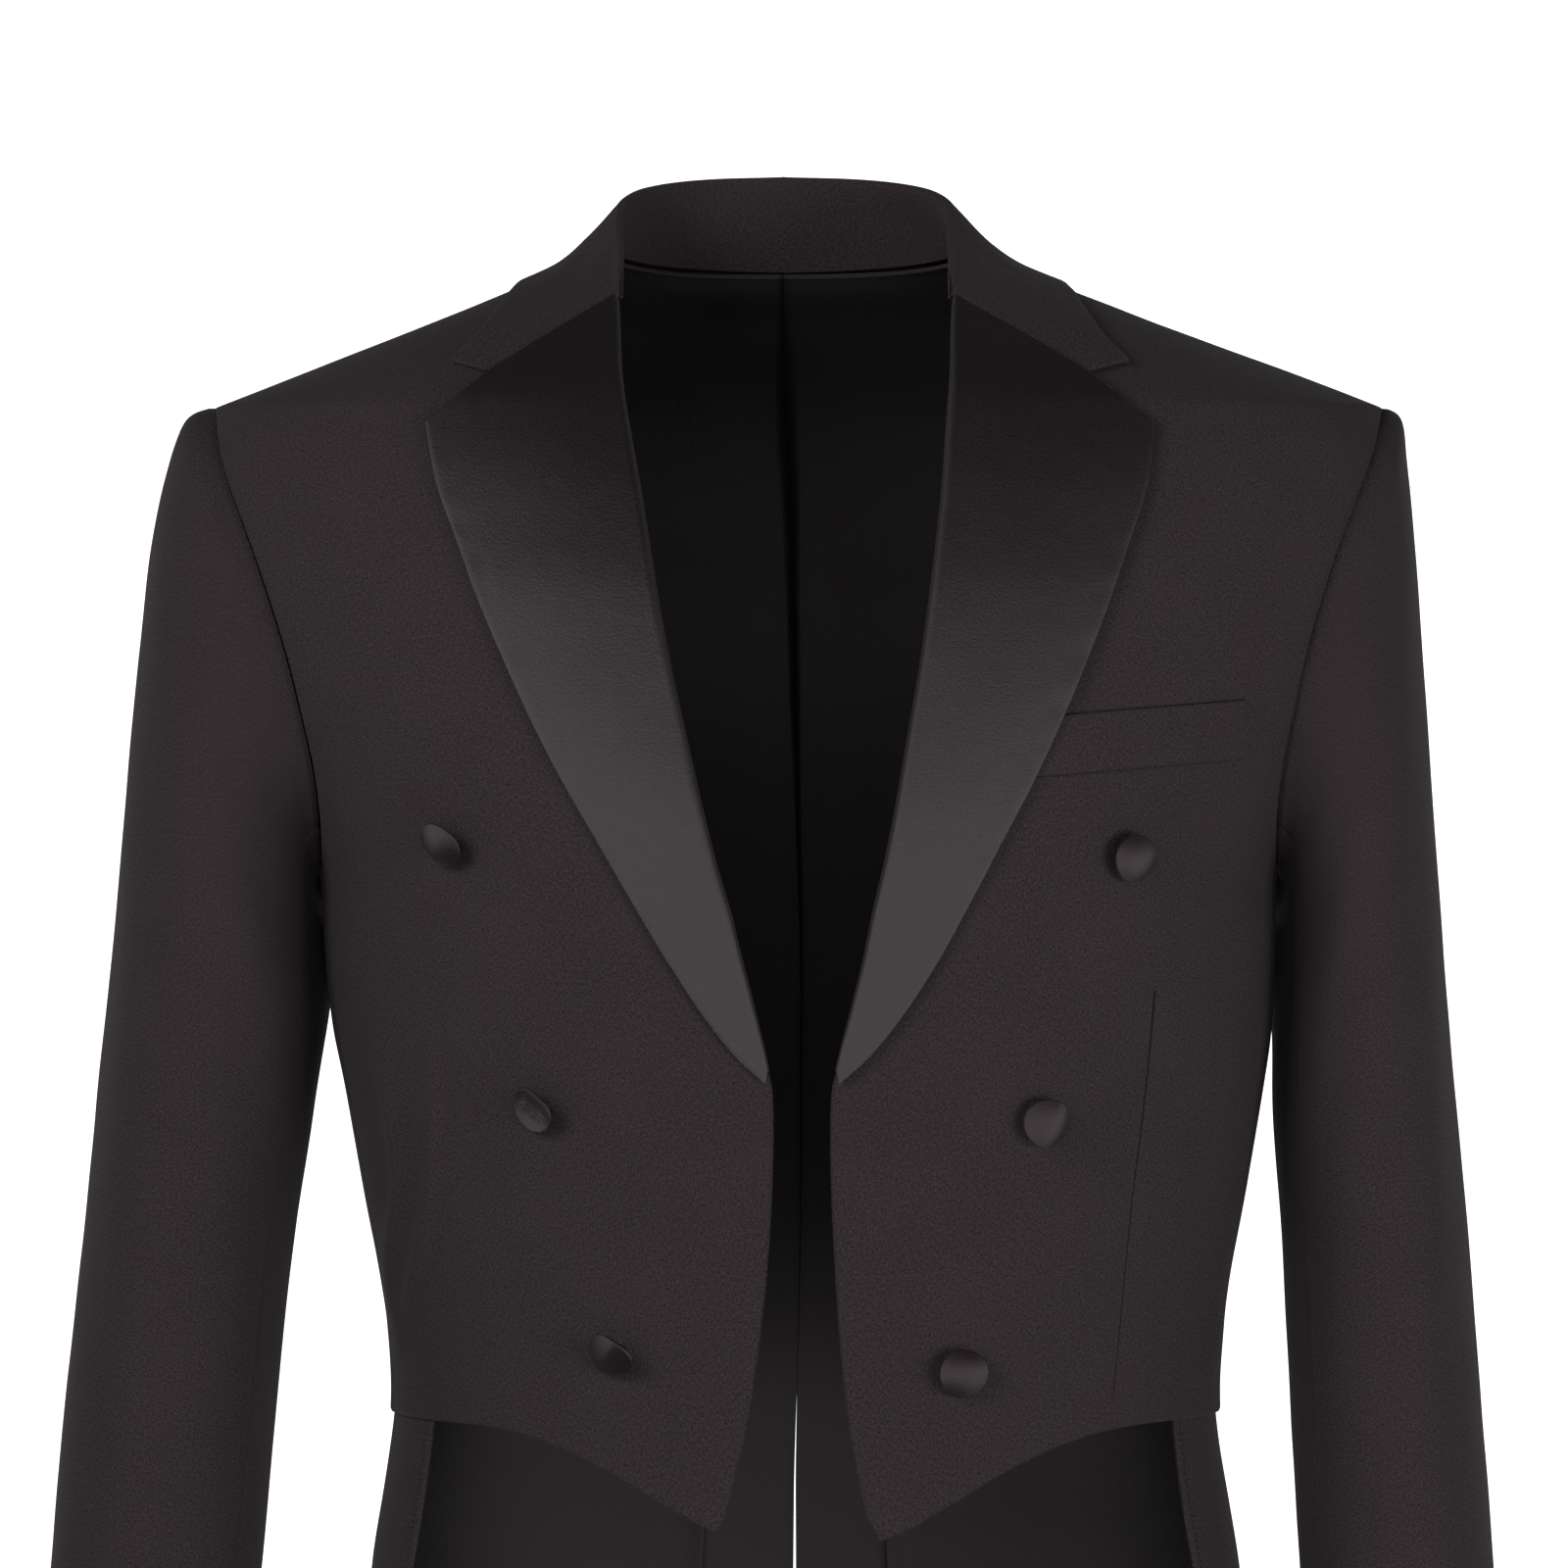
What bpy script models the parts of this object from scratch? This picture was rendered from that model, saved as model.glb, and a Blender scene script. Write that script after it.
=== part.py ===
"""A white tie tailcoat, worn and hollow: double-breasted front cut away at the waist, satin notch lapels,
and two tails at the back. Metres, +Z up, the front faces -Y. The origin is where the wearer's neck holds
the coat, between the two neck points of the shoulder seams."""

from bisect import bisect_right
from collections import namedtuple
from math import acos, cos, degrees, pi, radians, sin

import bmesh
import bpy
from mathutils import Matrix, Vector

# Driving sizes
NECK_HALF = 0.075            # middle of the neck to the neck point of a shoulder seam
SHOULDER_HALF = 0.241        # middle of the neck to the shoulder point
NECK_DROP = 0.005            # the neck points lie this far below the origin
SHOULDER_DROP = 0.070        # and the shoulder points this far
WAIST = 0.483                # drop to the waist seam
TAIL_LENGTH = 1.060          # drop to the hem of the tails
NAPE_DROP = 0.011            # drop to the back neck seam
ROUNDNESS = 2.6              # how square the body's cross sections are; 2 is an ellipse

# Thickness of each kind of wall, and the clearances between pieces
BODY_CLOTH = 0.0020
SLEEVE_CLOTH = 0.0018
TAIL_CLOTH = 0.0018
LAPEL_CLOTH = 0.0022
COLLAR_CLOTH = 0.0018
WELT_CLOTH = 0.0012
SEAM_GAP = 0.0004
LAPEL_LIFT = 0.0022          # clear space between the front and the lapel on it
WELT_LIFT = 0.0006
WAIST_STEP = 0.0012          # the tails are set in by this much under the waist seam
VENT_HALF = 0.004            # each tail has parted from the middle by this much at the hem

# Armhole: an oval on the body, from the shoulder point down to the armpit
ARMPIT_DROP = 0.262
ARMHOLE_FRONT_TURN = 31.0    # degrees that the oval reaches forward and back of the side
ARMHOLE_BACK_TURN = 31.0
SIDE_SEAM_STATION = 158.7    # degrees round the armhole from the shoulder point, forwards
BACK_SEAM_STATION = 255.8
SLEEVE_SEAM_STATION = 9      # the front sleeve seam leaves the armhole at this station

# How finely the walls are divided
FRONT_STATIONS = 10          # along the armhole: front, under the arm, back
UNDER_STATIONS = 6
BACK_STATIONS = 7
SIDE_ROWS = 11               # from the armhole down to the waist
TAIL_ROWS = 12
FRONT_COLUMNS = 8
NECK_COLUMNS = 3
SHOULDER_COLUMNS = 4
TAIL_COLUMNS = 7

Side = namedtuple("Side", "drop half_width")
SIDES = [                    # half the body's width, below the shoulder point
    Side(0.070, 0.2410), Side(0.090, 0.2465), Side(0.115, 0.2465), Side(0.150, 0.2400),
    Side(0.190, 0.2265), Side(0.225, 0.2110), Side(0.250, 0.2008), Side(0.262, 0.1976),
    Side(0.280, 0.1968), Side(0.300, 0.1960), Side(0.326, 0.1938), Side(0.347, 0.1903),
    Side(0.387, 0.1833), Side(0.427, 0.1758), Side(0.448, 0.1728), Side(0.483, 0.1715),
    Side(0.545, 0.1790),
    Side(0.600, 0.1850), Side(0.650, 0.1880), Side(0.700, 0.1885), Side(0.800, 0.1860),
    Side(0.900, 0.1800), Side(1.060, 0.1720),
]

Depth = namedtuple("Depth", "drop front back")
DEPTHS = [                   # how far the body reaches forward and back of the shoulder line
    Depth(0.000, 0.0240, 0.0500), Depth(0.015, 0.0390, 0.0560), Depth(0.030, 0.0530, 0.0700),
    Depth(0.060, 0.0780, 0.0920), Depth(0.085, 0.0930, 0.1040), Depth(0.115, 0.1070, 0.1130),
    Depth(0.150, 0.1200, 0.1190), Depth(0.200, 0.1310, 0.1190), Depth(0.240, 0.1350, 0.1130),
    Depth(0.300, 0.1320, 0.1020), Depth(0.360, 0.1260, 0.0920), Depth(0.420, 0.1200, 0.0870),
    Depth(0.483, 0.1180, 0.0890), Depth(0.560, 0.1190, 0.1060), Depth(0.640, 0.1200, 0.1200),
    Depth(0.720, 0.1200, 0.1260), Depth(0.850, 0.1180, 0.1290), Depth(1.060, 0.1150, 0.1320),
]

Sway = namedtuple("Sway", "drop middle side")
SWAYS = [                    # the body turns a little: how far its middle and its sides lie to the left
    Sway(0.000, -0.0035, -0.0025), Sway(0.030, -0.0030, 0.0010), Sway(0.070, -0.0022, 0.0028),
    Sway(0.110, -0.0002, 0.0016), Sway(0.154, 0.0007, 0.0017), Sway(0.200, 0.0018, 0.0020),
    Sway(0.250, 0.0031, 0.0027), Sway(0.300, 0.0043, 0.0038), Sway(0.347, 0.0040, 0.0052),
    Sway(0.420, 0.0036, 0.0055), Sway(0.480, 0.0023, 0.0058), Sway(0.526, 0.0014, 0.0058),
    Sway(1.060, 0.0010, 0.0060),
]

Edge = namedtuple("Edge", "drop out")
ROLL_LINE = [                # the lapel's fold, out from the middle, then the front edge to the point
    Edge(0.005, 0.0750), Edge(0.012, 0.0722), Edge(0.027, 0.0680), Edge(0.060, 0.0660),
    Edge(0.085, 0.0630), Edge(0.115, 0.0590), Edge(0.150, 0.0540), Edge(0.180, 0.0490),
    Edge(0.205, 0.0440), Edge(0.235, 0.0380), Edge(0.257, 0.0330), Edge(0.276, 0.0280),
    Edge(0.294, 0.0240), Edge(0.312, 0.0195), Edge(0.342, 0.0125), Edge(0.362, 0.0113),
    Edge(0.400, 0.0123), Edge(0.440, 0.0152), Edge(0.479, 0.0199), Edge(0.498, 0.0236),
    Edge(0.518, 0.0285), Edge(0.526, 0.0330),
]

LAPEL_EDGE = [               # the lapel's outer edge, from its tip in the notch to the break
    Edge(0.080, 0.1466), Edge(0.106, 0.1421), Edge(0.130, 0.1338), Edge(0.154, 0.1250),
    Edge(0.178, 0.1150), Edge(0.202, 0.1042), Edge(0.225, 0.0927), Edge(0.248, 0.0799),
    Edge(0.272, 0.0668), Edge(0.295, 0.0537), Edge(0.318, 0.0387), Edge(0.334, 0.0258),
    Edge(0.344, 0.0146),
]

Hem = namedtuple("Hem", "out right left")
FRONT_HEM = [                # drop of the cutaway hem, from the point of each front out to the waist seam
    Hem(0.0330, 0.5234, 0.5290), Hem(0.0430, 0.5185, 0.5238), Hem(0.0530, 0.5130, 0.5180),
    Hem(0.0660, 0.5058, 0.5104), Hem(0.0820, 0.4973, 0.5010), Hem(0.1060, 0.4880, 0.4902),
    Hem(0.1250, 0.4842, 0.4852), Hem(0.1450, 0.4832, 0.4833), Hem(0.1800, 0.4830, 0.4830),
]

SIDE_BACK_SEAM = [           # out from the middle of the back, and on down the tail's pleat
    Edge(0.190, 0.2028), Edge(0.215, 0.1680), Edge(0.240, 0.1400), Edge(0.300, 0.0980),
    Edge(0.360, 0.0710), Edge(0.420, 0.0530), Edge(0.483, 0.0430), Edge(0.600, 0.0460),
    Edge(0.800, 0.0510), Edge(1.060, 0.0560),
]

Turn = namedtuple("Turn", "drop turn")
TAIL_EDGE = [                # the tail's front edge, degrees forward of the side
    Turn(0.483, 31.0), Turn(0.545, 30.5), Turn(0.600, 26.0), Turn(0.700, 10.0),
    Turn(0.800, -8.0), Turn(0.900, -23.0), Turn(1.000, -35.0), Turn(1.060, -41.0),
]

Arm = namedtuple("Arm", "outer_x outer_drop inner_x inner_drop half_depth centre_y "
                        "outer_shift inner_shift armhole")
# The shifts carry both sleeves towards the wearer's right, because the right arm hangs further out
SLEEVE = [                   # sections of a sleeve; armhole is how much of the armhole's shape is left
    Arm(0.2410, 0.070, 0.1976, 0.2620, 0.0690, 0.000, -0.0012, 0.0028, 1.00),
    Arm(0.2510, 0.076, 0.1998, 0.2638, 0.0700, 0.000, -0.0022, 0.0030, 0.85),
    Arm(0.2566, 0.098, 0.2004, 0.2662, 0.0710, 0.001, -0.0029, 0.0030, 0.66),
    Arm(0.2610, 0.126, 0.2006, 0.2705, 0.0720, 0.002, -0.0037, 0.0032, 0.46),
    Arm(0.2640, 0.158, 0.2002, 0.2775, 0.0730, 0.003, -0.0044, 0.0034, 0.28),
    Arm(0.2672, 0.195, 0.1994, 0.2880, 0.0730, 0.004, -0.0049, 0.0038, 0.13),
    Arm(0.2708, 0.237, 0.1982, 0.3030, 0.0725, 0.005, -0.0053, 0.0040, 0.04),
    Arm(0.2751, 0.287, 0.1968, 0.3250, 0.0715, 0.006, -0.0057, 0.0034, 0.00),
    Arm(0.2800, 0.342, 0.1985, 0.3600, 0.0700, 0.006, -0.0063, 0.0005, 0.00),
    Arm(0.2848, 0.397, 0.2036, 0.4060, 0.0670, 0.005, -0.0066, -0.0012, 0.00),
    Arm(0.2896, 0.450, 0.2075, 0.4550, 0.0635, 0.002, -0.0072, -0.0028, 0.00),
    Arm(0.2941, 0.503, 0.2111, 0.5060, 0.0600, -0.004, -0.0077, -0.0041, 0.00),
    Arm(0.2979, 0.558, 0.2147, 0.5580, 0.0565, -0.012, -0.0081, -0.0048, 0.00),
    Arm(0.3022, 0.620, 0.2190, 0.6160, 0.0530, -0.023, -0.0086, -0.0056, 0.00),
    Arm(0.3073, 0.694, 0.2236, 0.6860, 0.0490, -0.037, -0.0092, -0.0065, 0.00),
]

Leaf = namedtuple("Leaf", "place fold_x fold_y fold_z seam_turn seam_drop edge_turn edge_drop")
COLLAR = [                   # sections of the collar, from the gorge round to the middle of the back
    Leaf(0.00, 0.0690, -0.0480, -0.0245, 64.0, 0.0255, 53.5, 0.0550),
    Leaf(0.14, 0.0690, -0.0345, -0.0105, 58.0, 0.0205, 47.0, 0.0420),
    Leaf(0.27, 0.0690, -0.0180, 0.0030, 44.0, 0.0130, 35.0, 0.0300),
    Leaf(0.36, 0.0686, -0.0060, 0.0115, 24.0, 0.0070, 19.0, 0.0225),
    Leaf(0.44, 0.0672, 0.0055, 0.0170, 0.0, 0.0050, 3.0, 0.0199),
    Leaf(0.56, 0.0580, 0.0235, 0.0230, -28.0, 0.0062, -22.0, 0.0215),
    Leaf(0.76, 0.0350, 0.0400, 0.0275, -60.0, 0.0090, -52.0, 0.0240),
    Leaf(1.00, 0.0000, 0.0460, 0.0290, -90.0, 0.0110, -90.0, 0.0240),
]
LEAF_SAG = 0.0070            # the leaf dips towards the shoulder between its fold and its edge
LEAF_LIFT = 0.0008           # clear space between the shoulder and the leaf on it
COLLAR_HALF_COLUMNS = 11
FOLD_HALF = 0.0028           # half the width of the collar's rolled fold
SEAM_LIFT = 0.0012           # the stand starts this far over the neck seam

NOTCH = Edge(0.0600, 0.1196)         # where the collar and the lapel part
COLLAR_TIP = Edge(0.0550, 0.1375)

Fastener = namedtuple("Fastener", "name x drop tilt towards shank")
FRONT_BUTTONS = [            # a button tilts on its shank, towards so many degrees round from the right
    Fastener("button_right_top", -0.1362, 0.2465, 33.0, 262.0, 0.0062),
    Fastener("button_right_middle", -0.1003, 0.3530, 28.0, 225.0, 0.0056),
    Fastener("button_right_bottom", -0.0688, 0.4480, 60.0, 250.0, 0.0100),
    Fastener("button_left_top", 0.1343, 0.2540, 6.0, 330.0, 0.0040),
    Fastener("button_left_middle", 0.1000, 0.3597, 12.0, 5.0, 0.0042),
    Fastener("button_left_bottom", 0.0675, 0.4600, 6.0, 280.0, 0.0040),
]
BUTTON_RADIUS = 0.0100
BUTTON_SEAT = 0.0007         # the shank ends this far from the cloth
BUTTON_DOME = 0.0034
BUTTON_RIM = 0.0016          # from a button's back to its widest ring
SHANK_RADIUS = 0.0020
BACK_BUTTON_DROP = 0.4700    # the two buttons at the top of the tails' pleats
BACK_BUTTON_IN = 0.0110      # they sit this far inside the side-back seam
BACK_SHANK = 0.0030

POCKET_ENDS = (0.0880, 0.1805)       # the breast welt, out from the middle of the coat
POCKET_TOP = (0.1990, 0.1910)        # drop of its top edge at each end
POCKET_BOTTOM = (0.2230, 0.2150)


def smooth(rows, column, place):
    """A column of a table at a place between its rows, on a smooth curve. Its first column is the place."""
    places = [row[0] for row in rows]
    values = [getattr(row, column) for row in rows]
    low = min(max(bisect_right(places, place) - 1, 0), len(rows) - 2)

    def slope(index):
        before, after = max(index - 1, 0), min(index + 1, len(rows) - 1)
        return (values[after] - values[before]) / (places[after] - places[before])

    span = places[low + 1] - places[low]
    t = (place - places[low]) / span
    return (values[low] * (1 + 2 * t) * (1 - t) ** 2 + slope(low) * span * t * (1 - t) ** 2
            + values[low + 1] * t * t * (3 - 2 * t) - slope(low + 1) * span * t * t * (1 - t))


def mix(first, second, share):
    return first + (second - first) * share


def half_width(drop):
    """Half the body's width. Above the shoulder point it follows the straight slope of the shoulder seam."""
    if drop < SHOULDER_DROP:
        return mix(NECK_HALF, SHOULDER_HALF, (drop - NECK_DROP) / (SHOULDER_DROP - NECK_DROP))
    return smooth(SIDES, "half_width", drop)


def depth(drop, forward):
    return smooth(DEPTHS, "front" if forward else "back", drop)


def body_point(turn, drop):
    """A point on the body's surface: turn is 90 at the middle of the front, 0 at the side, -90 behind."""
    angle = radians(turn)
    reach = max(cos(angle), 0.0) ** (2 / ROUNDNESS)
    return Vector((half_width(drop) * reach, -depth(drop, turn > 0) * sin(angle), -drop))


def turn_at(out, drop):
    """The turn of the point that lies this far out from the middle, on the front."""
    share = min(max(out / half_width(drop), 0.0), 1.0)
    return degrees(acos(share ** (ROUNDNESS / 2)))


def outward(point):
    """The direction straight out of the body's surface at a point on it."""
    drop = -point.z
    step = 0.002
    forward = point.y < 0

    def inside(p):
        d = -p.z
        return (abs(p.x) / half_width(d)) ** ROUNDNESS + (p.y / depth(d, forward)) ** 2

    steps = [Vector((step, 0, 0)), Vector((0, step, 0)), Vector((0, 0, step))]
    lowest = max(drop, step)
    base = Vector((point.x, point.y, -lowest))
    return Vector([inside(base + s) - inside(base - s) for s in steps]).normalized()


def sway(out, drop):
    """How far a spot of the body lies to the wearer's left of where it would on an even body."""
    share = min(out / half_width(max(drop, NECK_DROP)), 1.0)
    return mix(smooth(SWAYS, "middle", drop), smooth(SWAYS, "side", drop), share ** 3)


def worn(point, side):
    """Puts a point of the left half on its side of the coat, with the body's sway. side is 1 or -1."""
    return Vector((side * point.x + sway(point.x, -point.z), point.y, point.z))


def armhole(station):
    """Turn and drop on the armhole, where station runs round it in degrees: 0 top, 90 front, 180 armpit."""
    angle = radians(station)
    middle = (SHOULDER_DROP + ARMPIT_DROP) / 2
    radius = (ARMPIT_DROP - SHOULDER_DROP) / 2
    reach = ARMHOLE_FRONT_TURN if sin(angle) > 0 else ARMHOLE_BACK_TURN
    return reach * sin(angle), middle - radius * cos(angle)


def spaced(start, end, count):
    return [mix(start, end, i / count) for i in range(count + 1)]


FRONT_ARM = spaced(0.0, SIDE_SEAM_STATION, FRONT_STATIONS)
UNDER_ARM = spaced(SIDE_SEAM_STATION, BACK_SEAM_STATION, UNDER_STATIONS)
BACK_ARM = spaced(BACK_SEAM_STATION, 360.0, BACK_STATIONS)
ARM_STATIONS = FRONT_ARM + UNDER_ARM[1:] + BACK_ARM[1:]
SIDE_SEAM = [(mix(armhole(SIDE_SEAM_STATION)[0], 10.0, i / SIDE_ROWS),
              mix(armhole(SIDE_SEAM_STATION)[1], WAIST, i / SIDE_ROWS)) for i in range(SIDE_ROWS + 1)]


def back_seam_out(drop):
    return smooth(SIDE_BACK_SEAM, "out", drop)


def back_seam(drop):
    return -turn_at(back_seam_out(drop), drop), drop


BACK_SEAM = [armhole(BACK_SEAM_STATION)]
BACK_SEAM += [back_seam(drop) for drop in spaced(BACK_SEAM[0][1], WAIST, SIDE_ROWS)[1:]]


def front_edge(drop):
    """Out from the middle: the roll line, then the front's edge, which ends in a point at the hem."""
    return smooth(ROLL_LINE, "out", min(drop, ROLL_LINE[-1].drop))


def blend(first, second, share):
    return mix(first[0], second[0], share), mix(first[1], second[1], share)


def shifted(place, other, away, share):
    """place, moved by a share of the step from one point to another."""
    return place[0] + (other[0] - away[0]) * share, place[1] + (other[1] - away[1]) * share


def trimmed(points, gap):
    """A grid of points with its four borders drawn in by a gap, so that it clears its neighbours' seams."""
    grid = [[p.copy() for p in row] for row in points]
    for row in grid:
        row[0] += (row[1] - row[0]).normalized() * gap
        row[-1] += (row[-2] - row[-1]).normalized() * gap
    for column in range(len(grid[0])):
        first, last = (grid[1][column] - grid[0][column]), (grid[-2][column] - grid[-1][column])
        grid[0][column] += first.normalized() * gap
        grid[-1][column] += last.normalized() * gap
    return grid


def cloth(name, outer, inner, material):
    """A closed wall between two grids of points, outer and inner, row by row."""
    rows, columns = len(outer) - 1, len(outer[0]) - 1
    mesh = bmesh.new()
    for points in (outer, inner):
        made = bmesh.ops.create_grid(mesh, x_segments=columns, y_segments=rows, size=0.5)["verts"]
        for vertex in made:
            column = round((vertex.co.x + 0.5) * columns)
            row = round((vertex.co.y + 0.5) * rows)
            vertex.co = points[row][column]
    rims = [e for e in mesh.edges if e.is_boundary]
    bmesh.ops.bridge_loops(mesh, edges=rims)
    bmesh.ops.recalc_face_normals(mesh, faces=mesh.faces[:])
    return finished(name, mesh, material)


def finished(name, mesh, material):
    data = bpy.data.meshes.new(name)
    mesh.to_mesh(data)
    mesh.free()
    data.shade_smooth()
    data.set_sharp_from_angle(angle=radians(40))
    data.materials.append(material)
    part = bpy.data.objects.new(name, data)
    coat.objects.link(part)
    return part


def body_wall(name, places, side, thickness, material, lift=lambda turn, drop: 0.0):
    """A panel of the body. places are rows of (turn, drop); lift moves a place out from the surface."""
    outer, inner = [], []
    for row in places:
        points = [body_point(turn, drop) for turn, drop in row]
        ways = [outward(p) for p in points]
        lifts = [lift(turn, drop) for turn, drop in row]
        outer.append([worn(p + n * h, side) for p, n, h in zip(points, ways, lifts)])
        inner.append([worn(p + n * (h - thickness), side) for p, n, h in zip(points, ways, lifts)])
    return cloth(name, trimmed(outer, SEAM_GAP / 2), trimmed(inner, SEAM_GAP / 2), material)


def front_panel(name, side):
    """From the shoulder seam to the cutaway hem, and from the roll line to the armhole and side seam."""
    column = "left" if side > 0 else "right"
    over = spaced(NECK_DROP, SIDE_SEAM[0][1], FRONT_STATIONS)
    under = spaced(SIDE_SEAM[0][1], getattr(FRONT_HEM[0], column), SIDE_ROWS)[1:]
    left = [(turn_at(front_edge(drop), drop), drop) for drop in over + under]
    right = [armhole(station) for station in FRONT_ARM] + SIDE_SEAM[1:]
    places = []
    for row, (start, end) in enumerate(zip(left, right)):
        line = [blend(start, end, j / FRONT_COLUMNS) for j in range(FRONT_COLUMNS + 1)]
        low = max(row - FRONT_STATIONS, 0) / SIDE_ROWS
        for j in range(1, FRONT_COLUMNS):
            last = blend(left[-1], right[-1], j / FRONT_COLUMNS)
            hem_drop = smooth(FRONT_HEM, column, body_point(last[0], WAIST).x)
            line[j] = (line[j][0], line[j][1] + (hem_drop - last[1]) * low * low)
        places.append(line)
    return body_wall(name, places, side, BODY_CLOTH, wool)


def side_body(name, side):
    """Under the arm, between the side seam and the curved side-back seam."""
    places = []
    for row, (start, end) in enumerate(zip(SIDE_SEAM, BACK_SEAM)):
        line = [blend(start, end, j / UNDER_STATIONS) for j in range(UNDER_STATIONS + 1)]
        fade = (1 - row / SIDE_ROWS) ** 2
        for j in range(1, UNDER_STATIONS):
            straight = blend(SIDE_SEAM[0], BACK_SEAM[0], j / UNDER_STATIONS)
            line[j] = shifted(line[j], armhole(UNDER_ARM[j]), straight, fade)
        places.append(line)
    return body_wall(name, places, side, BODY_CLOTH, wool)


def back_panel(name, side):
    """Half of the back, cut in one with the middle strip of its tail."""
    nape, neck_point, shoulder = (-90.0, NAPE_DROP), (0.0, NECK_DROP), (0.0, SHOULDER_DROP)
    columns = NECK_COLUMNS + SHOULDER_COLUMNS
    top = [(t, mix(NECK_DROP, NAPE_DROP, sin(radians(t)) ** 2)) for t in spaced(-90.0, 0.0, NECK_COLUMNS)]
    top += [blend(neck_point, shoulder, j / SHOULDER_COLUMNS) for j in range(1, SHOULDER_COLUMNS + 1)]
    armhole_side = [armhole(station) for station in reversed(BACK_ARM)]
    places = []
    for row, end in enumerate(armhole_side):
        start = (-90.0, mix(NAPE_DROP, BACK_SEAM[0][1], row / BACK_STATIONS))
        fade = (1 - row / BACK_STATIONS) ** 2
        line = []
        for j in range(columns + 1):
            straight = blend(nape, shoulder, j / columns)
            line.append(shifted(blend(start, end, j / columns), top[j], straight, fade))
        places.append(line)
    below = BACK_SEAM[1:] + [back_seam(d) for d in spaced(WAIST, TAIL_LENGTH, TAIL_ROWS)[1:]]
    for turn, drop in below:
        edge = body_point(turn, drop).x
        parted = VENT_HALF * max(drop - WAIST, 0.0) / (TAIL_LENGTH - WAIST)
        even = [-turn_at(mix(parted, edge, j / columns), drop) for j in range(columns + 1)]
        ruled = [mix(-90.0, turn, j / columns) for j in range(columns + 1)]
        share = min((drop - BACK_SEAM[0][1]) / (WAIST - BACK_SEAM[0][1]), 1.0)
        places.append([(mix(r, e, share), drop) for r, e in zip(ruled, even)])
    return body_wall(name, places, side, BODY_CLOTH, wool)


def tail_panel(name, side):
    """The skirt of a tail: from the waist seam to the hem, and from the pleat to its swept front edge."""
    places = []
    drops = spaced(WAIST, TAIL_LENGTH, TAIL_ROWS)
    for row, drop in enumerate(drops):
        start = back_seam(drop)
        end = (smooth(TAIL_EDGE, "turn", drop), drop)
        places.append([blend(start, end, j / TAIL_COLUMNS) for j in range(TAIL_COLUMNS + 1)])
    corner = places[-1][-1]
    places[-1][-1] = (corner[0] - 2.0, corner[1] - 0.010)
    inset = lambda turn, drop: -WAIST_STEP * max(1 - (drop - WAIST) / 0.06, 0.0)
    return body_wall(name, places, side, TAIL_CLOTH, wool, inset)


def front_point(out, drop, lift):
    """A point on the front, found by its distance out from the middle, raised by a lift."""
    point = body_point(turn_at(out, drop), drop)
    return point + outward(point) * lift


def lapel_lift(across, along):
    """The lapel springs up a little between its roll and its edge."""
    return LAPEL_LIFT + 0.0016 * sin(pi * across) * (1 - along)


def lapel(name, side):
    """The satin lapel, turned back along the roll line and laid on the front."""
    rows, columns = 14, 6
    tip, foot = LAPEL_EDGE[0], LAPEL_EDGE[-1]
    gorge = ROLL_LINE[2]
    outer, inner = [], []
    for i in range(rows + 1):
        along = i / rows
        start_drop = mix(gorge.drop, foot.drop - 0.005, along)
        start = (front_edge(start_drop), start_drop)
        end_drop = mix(tip.drop, foot.drop, along)
        end = (smooth(LAPEL_EDGE, "out", end_drop), end_drop)
        line = []
        for j in range(columns + 1):
            across = j / columns
            out, drop = blend(start, end, across)
            bend = (1 - along) ** 4 * gorge_sag(out)
            line.append((out, drop + bend, lapel_lift(across, along)))
        inner.append([worn(front_point(o, d, h), side) for o, d, h in line])
        outer.append([worn(front_point(o, d, h + LAPEL_CLOTH), side) for o, d, h in line])
    return cloth(name, trimmed(outer, SEAM_GAP), trimmed(inner, SEAM_GAP), satin)


def gorge_sag(out):
    """How far the notch lies below the straight line from the roll to the lapel's tip."""
    gorge, tip = ROLL_LINE[2], LAPEL_EDGE[0]
    share = (out - gorge.out) / (tip.out - gorge.out)
    bend_at = (NOTCH.out - gorge.out) / (tip.out - gorge.out)
    drop_at = mix(gorge.drop, tip.drop, bend_at)
    return (NOTCH.drop - drop_at) * (share / bend_at if share < bend_at else (1 - share) / (1 - bend_at))


def on_body(turn, drop, lift):
    point = body_point(turn, drop)
    return point + outward(point) * lift


def lifted_clear(point, lift):
    """Raises a point of the collar where it would sink into the shoulder."""
    drop = -point.z
    if drop < NECK_DROP:
        return point
    width, deep = half_width(drop), depth(drop, point.y < 0)
    size = (abs(point.x) / width) ** ROUNDNESS + (point.y / deep) ** 2
    if size > 1.8:
        return point
    on = Vector((point.x, point.y, point.z))
    for _ in range(4):
        size = (abs(on.x) / width) ** ROUNDNESS + (on.y / deep) ** 2
        on.x *= size ** -0.45
        on.y *= size ** -0.45
    way = outward(on)
    height = (point - on).dot(way)
    return point + way * max(lift - height, 0.0)


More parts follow.
